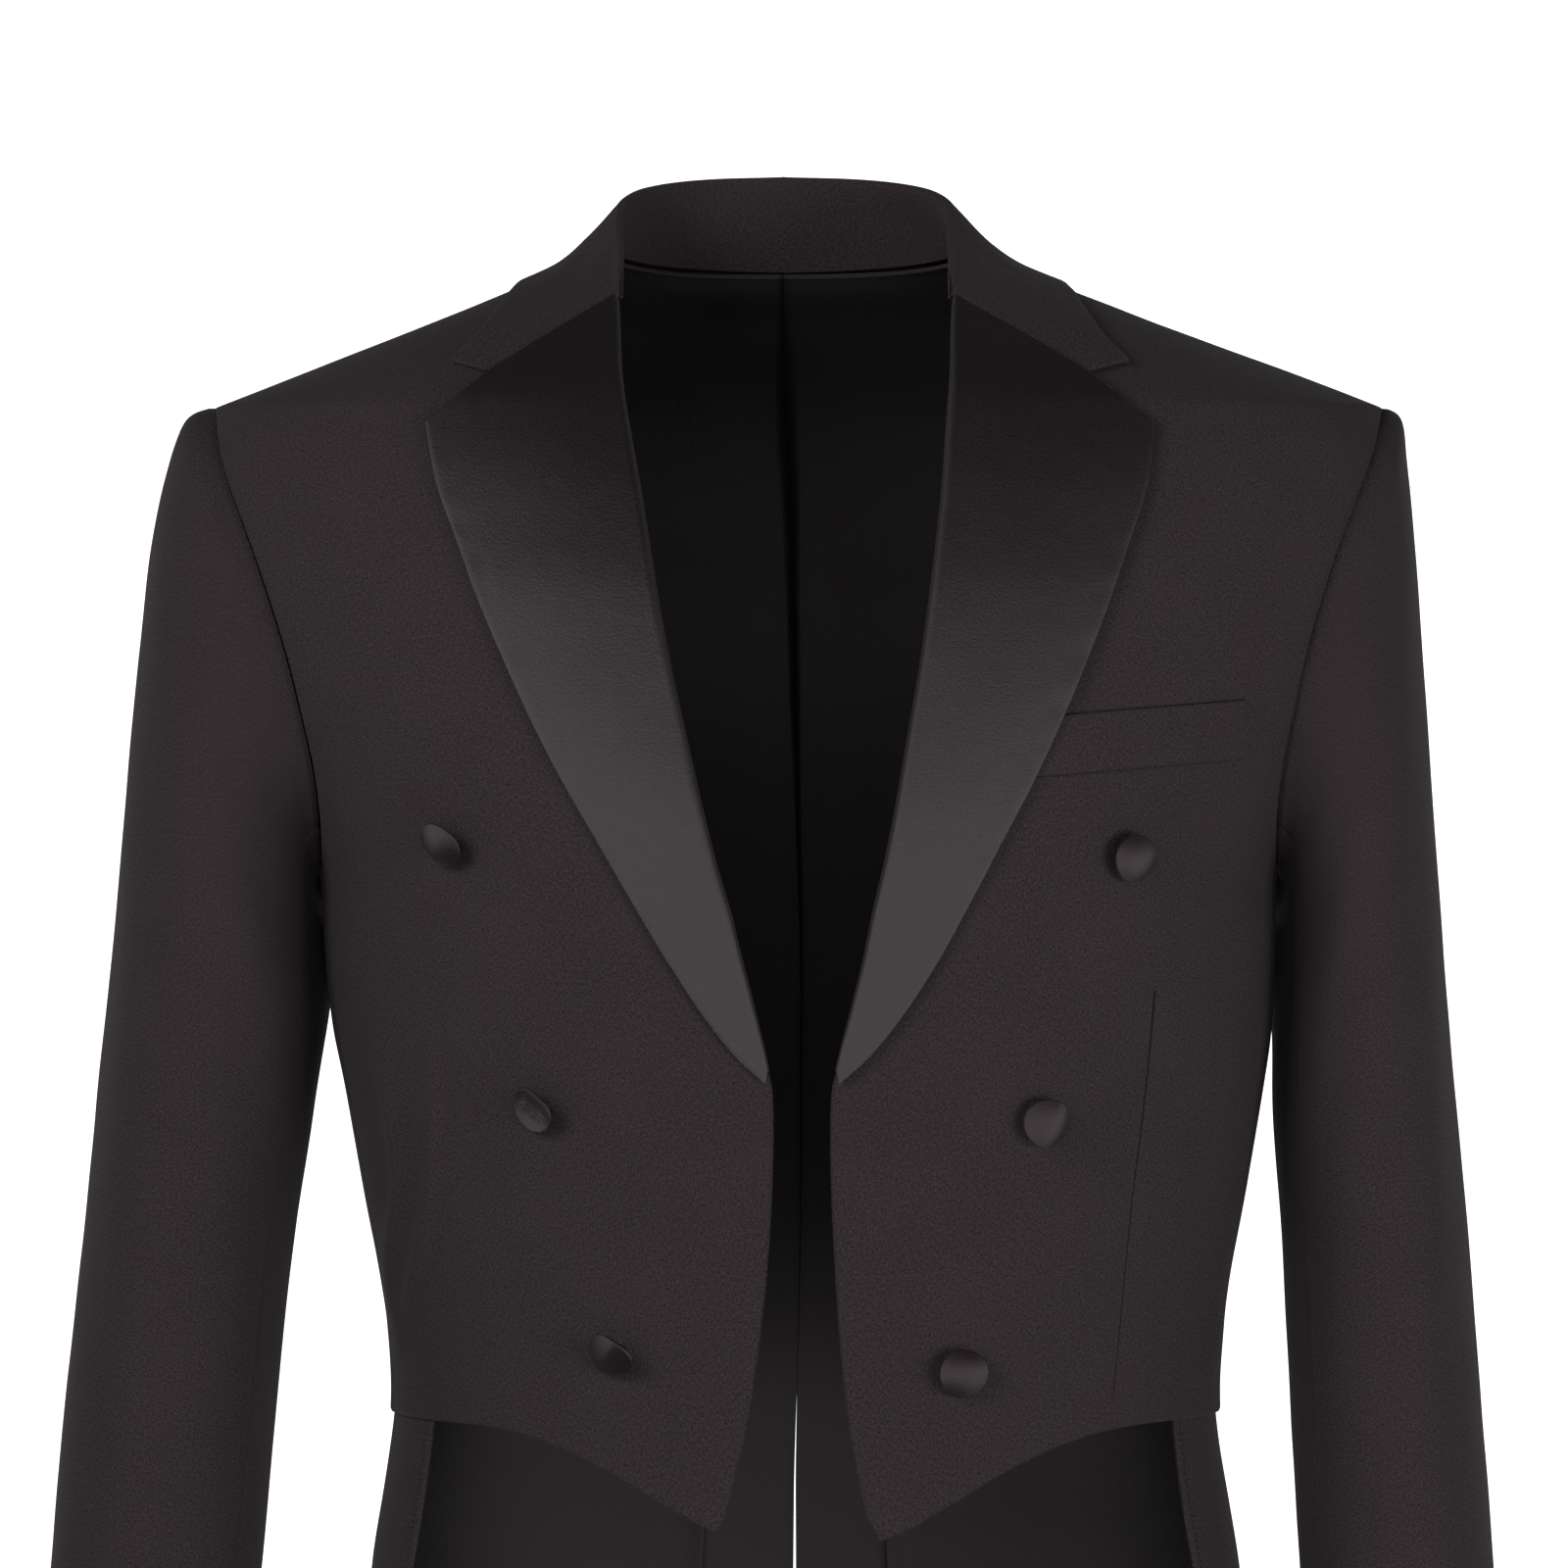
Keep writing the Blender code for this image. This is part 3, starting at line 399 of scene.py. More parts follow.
def sideBodyPanel(label, side):
    def place(u, v):
        end = backSeamTop if u == 0 else backSeam(mix(backSeamTop[1], cut["waist"], u))
        turn, drop = blend(sideSeam(u), end, v)
        station = mix(cut["sideSeamStation"], cut["backSeamStation"], v)
        straight, curved, fade = blend(sideSeamTop, backSeamTop, v), armhole(station), (1 - u) ** 2
        return turn + (curved[0] - straight[0]) * fade, drop + (curved[1] - straight[1]) * fade

    borders = {"start": (0.0003, seamBand), "end": (seamSink, seamBand),
               "top": (seamSink, seamBand), "bottom": (edgeSink, edgeBand)}
    piece = bodyPanel("sideBodyCloth_" + label, place, stops(count(80), 0.02), stops(count(40), 0.03), side,
                      [wool, lining], 0.0017, lambda point, spot, gaps: 0.0, borders)
    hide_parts("side_body_" + label)
    return piece


def backPlace(u, v):
    neckShare = 3 / 7
    seamTop = backSeamTop[1]
    if u <= 1:
        turn = mix(-90.0, 0.0, min(v / neckShare, 1.0))
        top = (turn, mix(cut["neckDrop"], cut["napeDrop"], sin(radians(turn)) ** 2))
        if v > neckShare:
            top = (0.0, mix(cut["neckDrop"], cut["shoulderDrop"], (v - neckShare) / (1 - neckShare)))
        start = (-90.0, mix(cut["napeDrop"], seamTop, u))
        end = armhole(360.0 - (360.0 - cut["backSeamStation"]) * u)
        straight = blend((-90.0, cut["napeDrop"]), (0.0, cut["shoulderDrop"]), v)
        here, fade = blend(start, end, v), (1 - u) ** 2
        return here[0] + (top[0] - straight[0]) * fade, here[1] + (top[1] - straight[1]) * fade
    if u <= 2:
        drop = mix(seamTop, cut["waist"], u - 1)
    else:
        drop = mix(cut["waist"], cut["tailLength"], u - 2)
    turn = backSeam(drop)[0]
    parted = cut["ventHalf"] * max(drop - cut["waist"], 0.0) / (cut["tailLength"] - cut["waist"])
    even = -turnAt(mix(parted, bodyPoint(turn, drop).x, v), drop)
    share = min((drop - seamTop) / (cut["waist"] - seamTop), 1.0)
    return mix(mix(-90.0, turn, v), even, share), drop


def backPanel(label, side):
    def relief(point, spot, gaps):
        # below the waist the strip's side edge is a pressed pleat that stands over the tail
        return 0.0014 * ease(cut["waist"], cut["waist"] + 0.05, -point.z)

    rows = joined(joined(stops(count(50), 0.03), stops(count(66), 0.01)), stops(count(120), 0.006))
    borders = {"start": (0.0003, 0.0024), "end": (seamSink, seamBand),
               "top": (seamSink, seamBand), "bottom": (edgeSink, edgeBand)}
    piece = bodyPanel("backCloth_" + label, backPlace, rows, stops(count(44), 0.02), side, [wool, lining],
                      0.0017, relief, borders)
    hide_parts("back_" + label)
    return piece


tails = {
    "thickness": 0.0015,
    "under": 0.0030,             # its top lies this far up behind the waist seam
    "tuck": 0.0022,              # how far the pleat's inner edge lies under the back's strip
    "lap": 1.5,                  # and by how many degrees it reaches behind it
    "flute": 0.0022,             # depth of the soft folds towards the hem
    "hemBand": 0.0042,           # the hem and front edge are turned in and stitched at this distance
}


def tailPanel(label, side):
    def place(u, v):
        drop = mix(cut["waist"] - tails["under"], cut["tailLength"], u)
        start = (backSeam(drop)[0] - tails["lap"], drop)
        turn, drop = blend(start, (smooth(tailEdge, 1, max(drop, cut["waist"])), drop), v)
        corner = max(v - 0.86, 0.0) / 0.14 * max(u - 0.955, 0.0) / 0.045
        return turn - 1.4 * corner ** 1.5, drop - 0.009 * corner ** 1.5

    def relief(point, spot, gaps):
        drop = -point.z
        lift = -cut["waistStep"] * min(max(1 - (drop - cut["waist"]) / 0.06, 0.0), 1.0)
        lift -= tails["tuck"] * (1 - ease(0.0, 0.010, gaps["start"]))
        low = ease(cut["waist"] + 0.06, cut["tailLength"], drop)
        lift += tails["flute"] * low * sin(gaps["start"] * 46 + 0.6) * ease(0.0, 0.05, gaps["start"])
        return lift - 0.0007 * exp(-((gaps["end"] - tails["hemBand"]) / 0.0011) ** 2)

    borders = {"end": (edgeSink, edgeBand), "bottom": (edgeSink, edgeBand)}
    piece = bodyPanel("tailCloth_" + label, place, stops(count(130), 0.006), stops(count(66), 0.022), side,
                      [stitchedWool, lining], tails["thickness"], relief, borders,
                      lambda point, gaps: gaps["end"] - tails["hemBand"])
    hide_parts("tail_" + label)
    return piece


lapels = {
    "thickness": 0.0012,
    "lift": 0.0036,              # the satin's face over the front
    "spring": 0.0014,            # and how much more it stands up between its roll and its edge
    "rollRadius": 0.0031,
    "facing": 0.018,             # width of the satin that shows inside the front
    "notch": (0.0600, 0.1196),
    "collarTip": (0.0550, 0.1375),
}


def gorgeSag(out):
    gorge, tip = rollLine[2], lapelEdge[0]
    notchDrop, notchOut = lapels["notch"]
    share = (out - gorge[1]) / (tip[1] - gorge[1])
    bendAt = (notchOut - gorge[1]) / (tip[1] - gorge[1])
    dropAt = mix(gorge[0], tip[0], bendAt)
    return (notchDrop - dropAt) * (share / bendAt if share < bendAt else (1 - share) / (1 - bendAt))


def lapelPiece(label, side):
    gorge, tip, foot = rollLine[2], lapelEdge[0], lapelEdge[-1]
    rows, columns = stops(count(120), 0.008), stops(count(52), 0.02)
    points, marks = [], []
    for along in rows:
        startDrop = mix(gorge[0], foot[0] - 0.005, along)
        endDrop = mix(tip[0], foot[0], along)
        start, end = (frontEdge(startDrop), startDrop), (smooth(lapelEdge, 1, endDrop), endDrop)
        radius = lapels["rollRadius"] * (1 - 0.6 * along ** 8) * mix(0.8, 1.0, ease(0.0, 0.1, along))
        width = end[0] - start[0]
        line = []

        def spot(across, lift, shift=0.0):
            out, drop = blend(start, end, across)
            drop += (1 - along) ** 4 * gorgeSag(out)
            return worn(frontPoint(out + shift, drop, lift), side)

        topLift = lapels["lift"]
        facing = min(lapels["facing"], width * 0.5)
        for step in range(6):    # the facing inside, then round the roll, then the lapel itself
            line.append(spot(0.0, topLift - 2 * radius, radius + facing * (1 - step / 6)))
        for step in range(9):
            angle = radians(-90 + 180 * step / 9)
            line.append(spot(0.0, topLift - radius + radius * sin(angle), radius * (1 - cos(angle))))
        rollShare = min(radius / max(width, 0.001), 0.9)
        for share in columns:
            across = mix(rollShare, 1.0, share)
            gap = (1 - across) * width
            here = topLift + lapels["spring"] * sin(pi * across) * (1 - along)
            here -= 0.0003 * (1 - ease(0.0, 0.0012, gap))
            place = spot(across, 0.0)
            pucker = 0.00035 * noise.noise(Vector((place.x, place.z, side)) * 95)
            here += pucker * (1 - ease(0.001, 0.009, gap))
            here += 0.0005 * noise.noise(place * 23) + 0.00008 * noise.noise(place * 150)
            line.append(spot(across, here))
        points.append(line)
        # painted shade: the roll is marked so that the satin's colour is darkened along it, a dark line from the
        # front
        marks.append([1.0] * 8 + [0.0] * 5 + [0.0006, 0.0010] + [0.0011 + s * width for s in columns])
    middle = outward(frontPoint(0.09, 0.17, 0.0))
    piece = sheetPiece("lapelSatin_" + label, points, Vector((side * middle.x, middle.y, middle.z)),
                       [satin], lapels["thickness"], marks)
    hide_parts("lapel_" + label)
    return piece


collars = {
    "thickness": 0.0016,
    "leafSag": 0.0070,
    "leafLift": 0.0008,
    "foldHalf": 0.0028,
    "seamLift": 0.0012,
    "frontLift": 0.0040,
    "leaf": [  # place, fold x, y, z, seam turn and drop, edge turn and drop
        (0.00, 0.0690, -0.0480, -0.0245, 64.0, 0.0255, 53.5, 0.0550),
        (0.14, 0.0690, -0.0345, -0.0105, 58.0, 0.0205, 47.0, 0.0420),
        (0.27, 0.0690, -0.0180, 0.0030, 44.0, 0.0130, 35.0, 0.0300),
        (0.36, 0.0686, -0.0060, 0.0115, 24.0, 0.0070, 19.0, 0.0225),
        (0.44, 0.0672, 0.0055, 0.0170, 0.0, 0.0050, 3.0, 0.0199),
        (0.56, 0.0580, 0.0235, 0.0230, -28.0, 0.0062, -22.0, 0.0215),
        (0.76, 0.0350, 0.0400, 0.0275, -60.0, 0.0090, -52.0, 0.0240),
        (1.00, 0.0000, 0.0460, 0.0290, -90.0, 0.0110, -90.0, 0.0240),
    ],
}


def onBody(turn, drop, lift):
    point = bodyPoint(turn, drop)
    return point + outward(point) * lift


def liftedClear(point, lift):  # raises a point of the collar where it would sink into the shoulder
    drop = -point.z
    if drop < cut["neckDrop"]:
        return point
    width, deep = halfWidth(drop), depth(drop, point.y < 0)

    def size(p):
        return (abs(p.x) / width) ** cut["roundness"] + (p.y / deep) ** 2

    if size(point) > 1.8:
        return point
    on = point.copy()
    for _ in range(4):
        share = size(on) ** -0.45
        on.x *= share
        on.y *= share
    way = outward(on)
    return point + way * max(lift - (point - on).dot(way), 0.0)


def collarSection(place):
    fold = Vector([smooth(collars["leaf"], column, place) for column in (1, 2, 3)])
    seamTurn, seamDrop, edgeTurn, edgeDrop = [smooth(collars["leaf"], c, place) for c in (4, 5, 6, 7)]
    seam = onBody(seamTurn, seamDrop, collars["seamLift"])
    lift = mix(0.0022, collars["leafLift"], min(place / 0.3, 1.0)) + 0.0018
    edge = onBody(edgeTurn, edgeDrop, lift)
    away = Vector((edge.x - fold.x, edge.y - fold.y, 0)).normalized()
    low = Vector((0, 0, -collars["foldHalf"] * 0.9))
    innerFold = fold - away * collars["foldHalf"] + low
    outerFold = fold + away * collars["foldHalf"] + low
    points = [seam, mix(seam, innerFold, 0.5), innerFold, fold, outerFold]
    for share in (0.25, 0.5, 0.75):
        dip = collars["leafSag"] * sin(pi * share) * (1 - place ** 2)
        points.append(liftedClear(mix(outerFold, edge, share) - Vector((0, 0, dip)), lift))
    return points + [edge]


def gorgeSection():
    gorge, notch, tip = rollLine[2], lapels["notch"], lapels["collarTip"]
    ends = [(gorge[1] + 0.003, gorge[0] + 0.0019)]
    ends += [(mix(gorge[1], notch[1], s), mix(gorge[0], notch[0], s)) for s in (0.35, 0.68, 1.0)]
    ends += [(tip[1], tip[0])]
    return collarSection(0.0)[:4] + [frontPoint(out, drop, collars["frontLift"]) for out, drop in ends]


def curved(knots, share, roundness):
    # a place along a line of points, straight between them at roundness 0 and smooth at 1
    at = min(share * (len(knots) - 1), len(knots) - 1.0001)
    low = int(at)
    t = at - low
    a, b = knots[low], knots[low + 1]
    before = knots[max(low - 1, 0)]
    after = knots[min(low + 2, len(knots) - 1)]
    tangentA, tangentB = (b - before) / 2, (after - a) / 2
    softened = (a * (1 + 2 * t) * (1 - t) ** 2 + tangentA * t * (1 - t) ** 2
              + b * t * t * (3 - 2 * t) - tangentB * t * t * (1 - t))
    return mix(mix(a, b, t), softened, roundness)


def collarPiece():
    first, gorgeLine, nextLine = 1 / 11, gorgeSection(), collarSection(1 / 11)
    half = []
    places = [s for s in stops(count(96), 0.01)]
    shares = stops(count(48), 0.02)
    for place in places[:-3]:
        if place < first:
            knots = [mix(a, b, place / first) for a, b in zip(gorgeLine, nextLine)]
        else:
            knots = collarSection(place)
        half.append([curved(knots, s, min(place / first, 1.0)) for s in shares])
    half.append([curved(collarSection(1.0), s, 1.0) for s in shares])
    left = [[worn(p, 1) for p in line] for line in half]
    right = [[worn(p, -1) for p in line] for line in half]
    grid = left + right[-2::-1]
    points = []
    for i, line in enumerate(grid):
        before, after = grid[max(i - 1, 0)], grid[min(i + 1, len(grid) - 1)]
        lengths = [0.0]
        for a, b in zip(line, line[1:]):
            lengths.append(lengths[-1] + (b - a).length)
        fresh = []
        for j, point in enumerate(line):
            along = after[j] - before[j]
            across = line[min(j + 1, len(line) - 1)] - line[max(j - 1, 0)]
            way = across.cross(along).normalized()
            gap = lengths[-1] - lengths[j]
            lift = 0.00035 * noise.noise(point * 90) * (1 - ease(0.001, 0.010, gap))
            lift -= 0.0008 * (1 - ease(0.0, 0.0020, gap))
            fresh.append(point + way * lift)
        points.append(fresh)
    piece = sheetPiece("collarCloth", points, Vector((0, 1, 1)), [wool, lining], collars["thickness"])
    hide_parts("collar")
    return piece


welts = {
    "ends": (0.0880, 0.1805),    # out from the middle of the coat
    "top": (0.1990, 0.1910),     # drop of its top edge at each end
    "bottom": (0.2230, 0.2150),
    "lift": 0.0017,
    "thickness": 0.0011,
    "stitchedIn": 0.0024,        # the stitched ends lie this far in
}


def weltPiece():
    points, marks = [], []
    for down in stops(count(16), 0.08):
        line, markLine = [], []
        for across in stops(count(70), 0.02):
            out = mix(*welts["ends"], across)
            drop = mix(mix(*welts["top"], across), mix(*welts["bottom"], across), down)
            length = welts["ends"][1] - welts["ends"][0]
            endGap = (1 - across) * length
            lift = welts["lift"] - 0.0007 * exp(-((endGap - welts["stitchedIn"]) / 0.0009) ** 2)
            lift -= 0.0007 * (1 - ease(0.0, 0.0010, endGap)) + 0.0008 * ease(0.90, 1.0, down)
            lift -= 0.0005 * (1 - ease(0.0, 0.06, down))
            spot = worn(frontPoint(out, drop, 0.0), 1)
            line.append(worn(frontPoint(out, drop, lift + settle(spot)), 1))
            # painted shadow: the welt's top and bottom edges are marked so that the wool's colour is darkened
            # along them, a shadow line at the pocket's mouth and below
            markLine.append(min(down, 1 - down) * 0.024 + 0.0002)
        points.append(line)
        marks.append(markLine)
    middle = outward(frontPoint(0.13, 0.207, 0.0))
    piece = sheetPiece("pocketWelt", points, middle, [wool], welts["thickness"], marks)
    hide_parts("breast_welt")
    return piece


sleeves = {
    "thickness": 0.0015,
    "cap": 0.0009,               # the sleeve head stands over the armhole seam by this much
    "sections": [  # outer x and drop, inner x and drop, half depth, centre y, the two shifts, armhole share
        (0.2410, 0.070, 0.1976, 0.2620, 0.0690, 0.000, -0.0012, 0.0028, 1.00),
        (0.2510, 0.076, 0.1998, 0.2638, 0.0700, 0.000, -0.0022, 0.0030, 0.85),
        (0.2566, 0.098, 0.2004, 0.2662, 0.0710, 0.001, -0.0029, 0.0030, 0.66),
        (0.2610, 0.126, 0.2006, 0.2705, 0.0720, 0.002, -0.0037, 0.0032, 0.46),
        (0.2640, 0.158, 0.2002, 0.2775, 0.0730, 0.003, -0.0044, 0.0034, 0.28),
        (0.2672, 0.195, 0.1994, 0.2880, 0.0730, 0.004, -0.0049, 0.0038, 0.13),
        (0.2708, 0.237, 0.1982, 0.3030, 0.0725, 0.005, -0.0053, 0.0040, 0.04),
        (0.2751, 0.287, 0.1968, 0.3250, 0.0715, 0.006, -0.0057, 0.0034, 0.00),
        (0.2800, 0.342, 0.1985, 0.3600, 0.0700, 0.006, -0.0063, 0.0005, 0.00),
        (0.2848, 0.397, 0.2036, 0.4060, 0.0670, 0.005, -0.0066, -0.0012, 0.00),
        (0.2896, 0.450, 0.2075, 0.4550, 0.0635, 0.002, -0.0072, -0.0028, 0.00),
        (0.2941, 0.503, 0.2111, 0.5060, 0.0600, -0.004, -0.0077, -0.0041, 0.00),
        (0.2979, 0.558, 0.2147, 0.5580, 0.0565, -0.012, -0.0081, -0.0048, 0.00),
        (0.3022, 0.620, 0.2190, 0.6160, 0.0530, -0.023, -0.0086, -0.0056, 0.00),
        (0.3073, 0.694, 0.2236, 0.6860, 0.0490, -0.037, -0.0092, -0.0065, 0.00),
    ],
    # soft folds: where along the sleeve (0 to 14), at which station, how long, how wide, how high
    "folds": [(6.2, 112, 1.3, 17, 0.0013), (7.6, 128, 1.2, 14, 0.0014), (9.2, 118, 1.3, 16, 0.0012),
              (5.0, 60, 2.4, 13, 0.0008), (9.6, 62, 2.8, 14, 0.0009), (7.4, 20, 2.2, 16, -0.0006),
              (6.05, 204, 1.65, 20, 0.0055), (3.2, 203, 1.5, 15, 0.0068)],
}
sleeveRows = [(float(i),) + row for i, row in enumerate(sleeves["sections"])]


def sleevePoint(along, station, side, row=None):
    angle = radians(station)
    row = row or [smooth(sleeveRows, c, along) for c in range(1, 10)]
    outerX, outerDrop, innerX, innerDrop, halfDepth, centreY, outerShift, innerShift, share = row
    top = sleeves["sections"][0]

    def oval(ox, od, ix, innerDeep, deep, centre):
        return Vector(((ox + ix) / 2 + (ox - ix) / 2 * cos(angle), centre - deep * sin(angle),
                       -(od + innerDeep) / 2 + (innerDeep - od) / 2 * cos(angle)))

    point = oval(outerX, outerDrop, innerX, innerDrop, halfDepth, centreY)
    if share > 0.0001:
        point += (bodyPoint(*armhole(station)) - oval(*top[:6])) * share
    armShift = mix(innerShift, outerShift, (1 + cos(angle)) / 2)
    shift = mix(armShift, sway(point.x, -point.z), max(share, 0.0) ** 4)
    return Vector((side * point.x + shift, point.y, point.z))


def sleevePiece(name, first, last, columns, side, node):
    rows = [14 * s for s in stops(count(150), 0.006)]
    stations = [mix(first, last, s) for s in stops(count(columns), 0.02)]
    grid = []
    for along in rows:
        row = [smooth(sleeveRows, c, along) for c in range(1, 10)]
        grid.append([sleevePoint(along, s, side, row) for s in stations])
    points = []
    for i, line in enumerate(grid):
        before, after = grid[max(i - 1, 0)], grid[min(i + 1, len(grid) - 1)]
        lengths = [0.0]
        for a, b in zip(line, line[1:]):
            lengths.append(lengths[-1] + (b - a).length)
        axis = sum(line, Vector()) / len(line)
        fresh = []
        for j, point in enumerate(line):
            along = after[j] - before[j]
            across = line[min(j + 1, len(line) - 1)] - line[max(j - 1, 0)]
            way = across.cross(along).normalized()
            if way.x * side * cos(radians(stations[j])) - way.y * sin(radians(stations[j])) < 0:
                way.negate()
            seam = min(lengths[j], lengths[-1] - lengths[j])
            lift = -seamSink * (1 - ease(0.0, seamBand, seam))
            downRow = (point - grid[0][j]).length
            head = (1 - ease(0.004, 0.022, downRow)) * max(cos(radians(stations[j])), 0.0)
            lift += sleeves["cap"] * head - seamSink * (1 - ease(0.0, seamBand, downRow))
            for at, station, long, wide, height in sleeves["folds"]:
                near = ((rows[i] - at) / long) ** 2 + ((stations[j] - station - 9 * (rows[i] - at)) / wide) ** 2
                if near < 9:
                    lift += height * exp(-near)
            fresh.append(point + way * (lift + settle(point)))
        points.append(fresh)
    middle = (first + last) / 2
    facing = Vector((side * cos(radians(middle)), -sin(radians(middle)), 0.0))
    piece = sheetPiece(name, points, facing, [wool, lining], sleeves["thickness"])
    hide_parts(node)
    return piece


buttons = {
    "radius": 0.0100,
    "seat": 0.0006,
    "rim": 0.0016,
    "thread": 0.0012,
    # name, x, drop, tilt, towards (degrees round from the right), shank, dome, then its crease:
    # which way it runs, how far off the middle, how sharply the two halves fall away
    "front": [
        ("button_right_top", -0.1362, 0.2465, 24.0, 250.0, 0.0064, 0.0024, 48.0, 0.0010, 0.06),
        ("button_right_middle", -0.1003, 0.3530, 30.0, 225.0, 0.0056, -0.0022, 60.0, 0.0020, 0.12),
        ("button_right_bottom", -0.0688, 0.4500, 38.0, 234.0, 0.0090, 0.0010, 50.0, -0.0010, 0.27),
        ("button_left_top", 0.1343, 0.2540, 6.0, 330.0, 0.0040, 0.0022, 18.0, 0.0002, 0.13),
        ("button_left_middle", 0.1000, 0.3597, 8.0, 340.0, 0.0042, 0.0018, 62.0, 0.0006, 0.27),
        ("button_left_bottom", 0.0675, 0.4600, 6.0, 280.0, 0.0040, 0.0022, 14.0, -0.0008, 0.17),
    ],
    "backDrop": 0.4700,
    "backIn": 0.0110,
    "backShank": 0.0030,
}


def bent(point, length, tilt):
    share = min(point.z / length, 1.0)
    angle = max(tilt * share, 1e-6)
    radius = length * share / angle
    path = Vector((radius * (1 - cos(angle)), 0, radius * sin(angle)))
    return path + Matrix.Rotation(angle, 3, "Y") @ Vector((point.x, point.y, max(point.z - length, 0.0)))


def buttonPiece(name, spot, way, tilt, towards, shank, dome, crease, off, fall):
    radius, rim = buttons["radius"], shank + buttons["rim"]
    mesh = bmesh.new()
    profile = [(0.0, 0.0), (buttons["thread"] * 1.6, 0.0002)]
    profile += [(buttons["thread"] * (1 + 0.12 * sin(i * 2.6)), shank * (0.1 + 0.8 * i / 10)) for i in range(11)]
    profile += [(buttons["thread"] * 2.2, shank * 0.98), (radius * 0.45, shank + buttons["rim"] * 0.10),
                (radius * 0.80, shank + buttons["rim"] * 0.22), (radius * 0.93, shank + buttons["rim"] * 0.5)]
    profile += [(radius * (0.965 + 0.035 * cos(radians(a))), rim + 0.0008 * sin(radians(a)))
                for a in (-40, -10, 20, 50, 80)]
    profile += [(radius * r, rim + 0.0008 + dome * (1 - (r / 0.95) ** 2.2)) for r in
                (0.92, 0.86, 0.78, 0.68, 0.57, 0.46, 0.35, 0.24, 0.14, 0.06, 0.0)]
    line = [mesh.verts.new((r, 0, z)) for r, z in profile]
    edges = [mesh.edges.new(pair) for pair in zip(line, line[1:])]
    bmesh.ops.spin(mesh, geom=line + edges, cent=(0, 0, 0), axis=(0, 0, 1), angle=2 * pi, steps=count(72),
                   use_merge=True)
    bmesh.ops.remove_doubles(mesh, verts=mesh.verts[:], dist=0.00001)
    bmesh.ops.recalc_face_normals(mesh, faces=mesh.faces[:])
    turn = radians(crease - towards)
    for vertex in mesh.verts:
        place = vertex.co.copy()
        share = ease(shank * 0.95, rim, place.z)
        away = place.x * sin(turn) - place.y * cos(turn) - off
        fallen = fall * (abs(away) ** 1.5) / radius ** 0.5
        gather = 0.00025 * sin(17 * pi * noise.noise(Vector((place.x, place.y, 0)) * 260))
        place.z -= fallen * share + (gather if place.z < rim - 0.0004 and share > 0.3 else 0.0)
        place.z = max(place.z, 0.0)
        vertex.co = bent(place, shank, radians(tilt))
    data = bpy.data.meshes.new(name)
    right = Vector((0, 0, 1)).cross(way).normalized()
    facing = Matrix((right, way.cross(right), way)).transposed() @ Matrix.Rotation(radians(towards), 3, "Z")
    mesh.transform(Matrix.Translation(spot + way * buttons["seat"]) @ facing.to_4x4())
    mesh.to_mesh(data)
    mesh.free()
    data.shade_smooth()
    data.materials.append(buttonSatin)
    piece = bpy.data.objects.new("coveredB" + name[1:], data)
    bpy.context.scene.collection.objects.link(piece)
    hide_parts(name)
    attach(piece, "root")
    return piece


def facingOut(point, side):
    way = outward(point)
    return Vector((side * way.x, way.y, way.z))


def sewButtons():
    for name, x, drop, tilt, towards, shank, dome, crease, off, fall in buttons["front"]:
        side = 1 if x > 0 else -1
        spot = frontPoint(side * (x - sway(abs(x), drop)), drop, 0.0)
        buttonPiece(name, worn(spot, side), facingOut(spot, side), tilt, towards, shank, dome, crease, off, fall)
    for name, side in (("button_back_left", 1), ("button_back_right", -1)):
        drop = buttons["backDrop"]
        spot = onBody(-turnAt(smooth(sideBackSeam, 1, drop) - buttons["backIn"], drop), drop, 0.0)
        buttonPiece(name, worn(spot, side), facingOut(spot, side), 0.0, 0.0, buttons["backShank"],
                    0.0026, 20.0, 0.0, 0.06)


finishes = {
    "wool": {"dark": (0.0065, 0.0051, 0.0059), "light": (0.0168, 0.0133, 0.0152), "threads": 2000.0},
    "satin": {"dark": (0.0018, 0.0012, 0.0014), "light": (0.0042, 0.0031, 0.0035), "threads": 1900.0},
    "button": {"dark": (0.0030, 0.0017, 0.0020), "light": (0.0055, 0.0033, 0.0038), "threads": 1900.0},
    "lining": {"dark": (0.0036, 0.0034, 0.0038), "light": (0.0056, 0.0052, 0.0057), "threads": 2200.0},
}


def node(tree, kind, **settings):
    made = tree.nodes.new(kind)
    for key, value in settings.items():
        setattr(made, key, value)
    return made


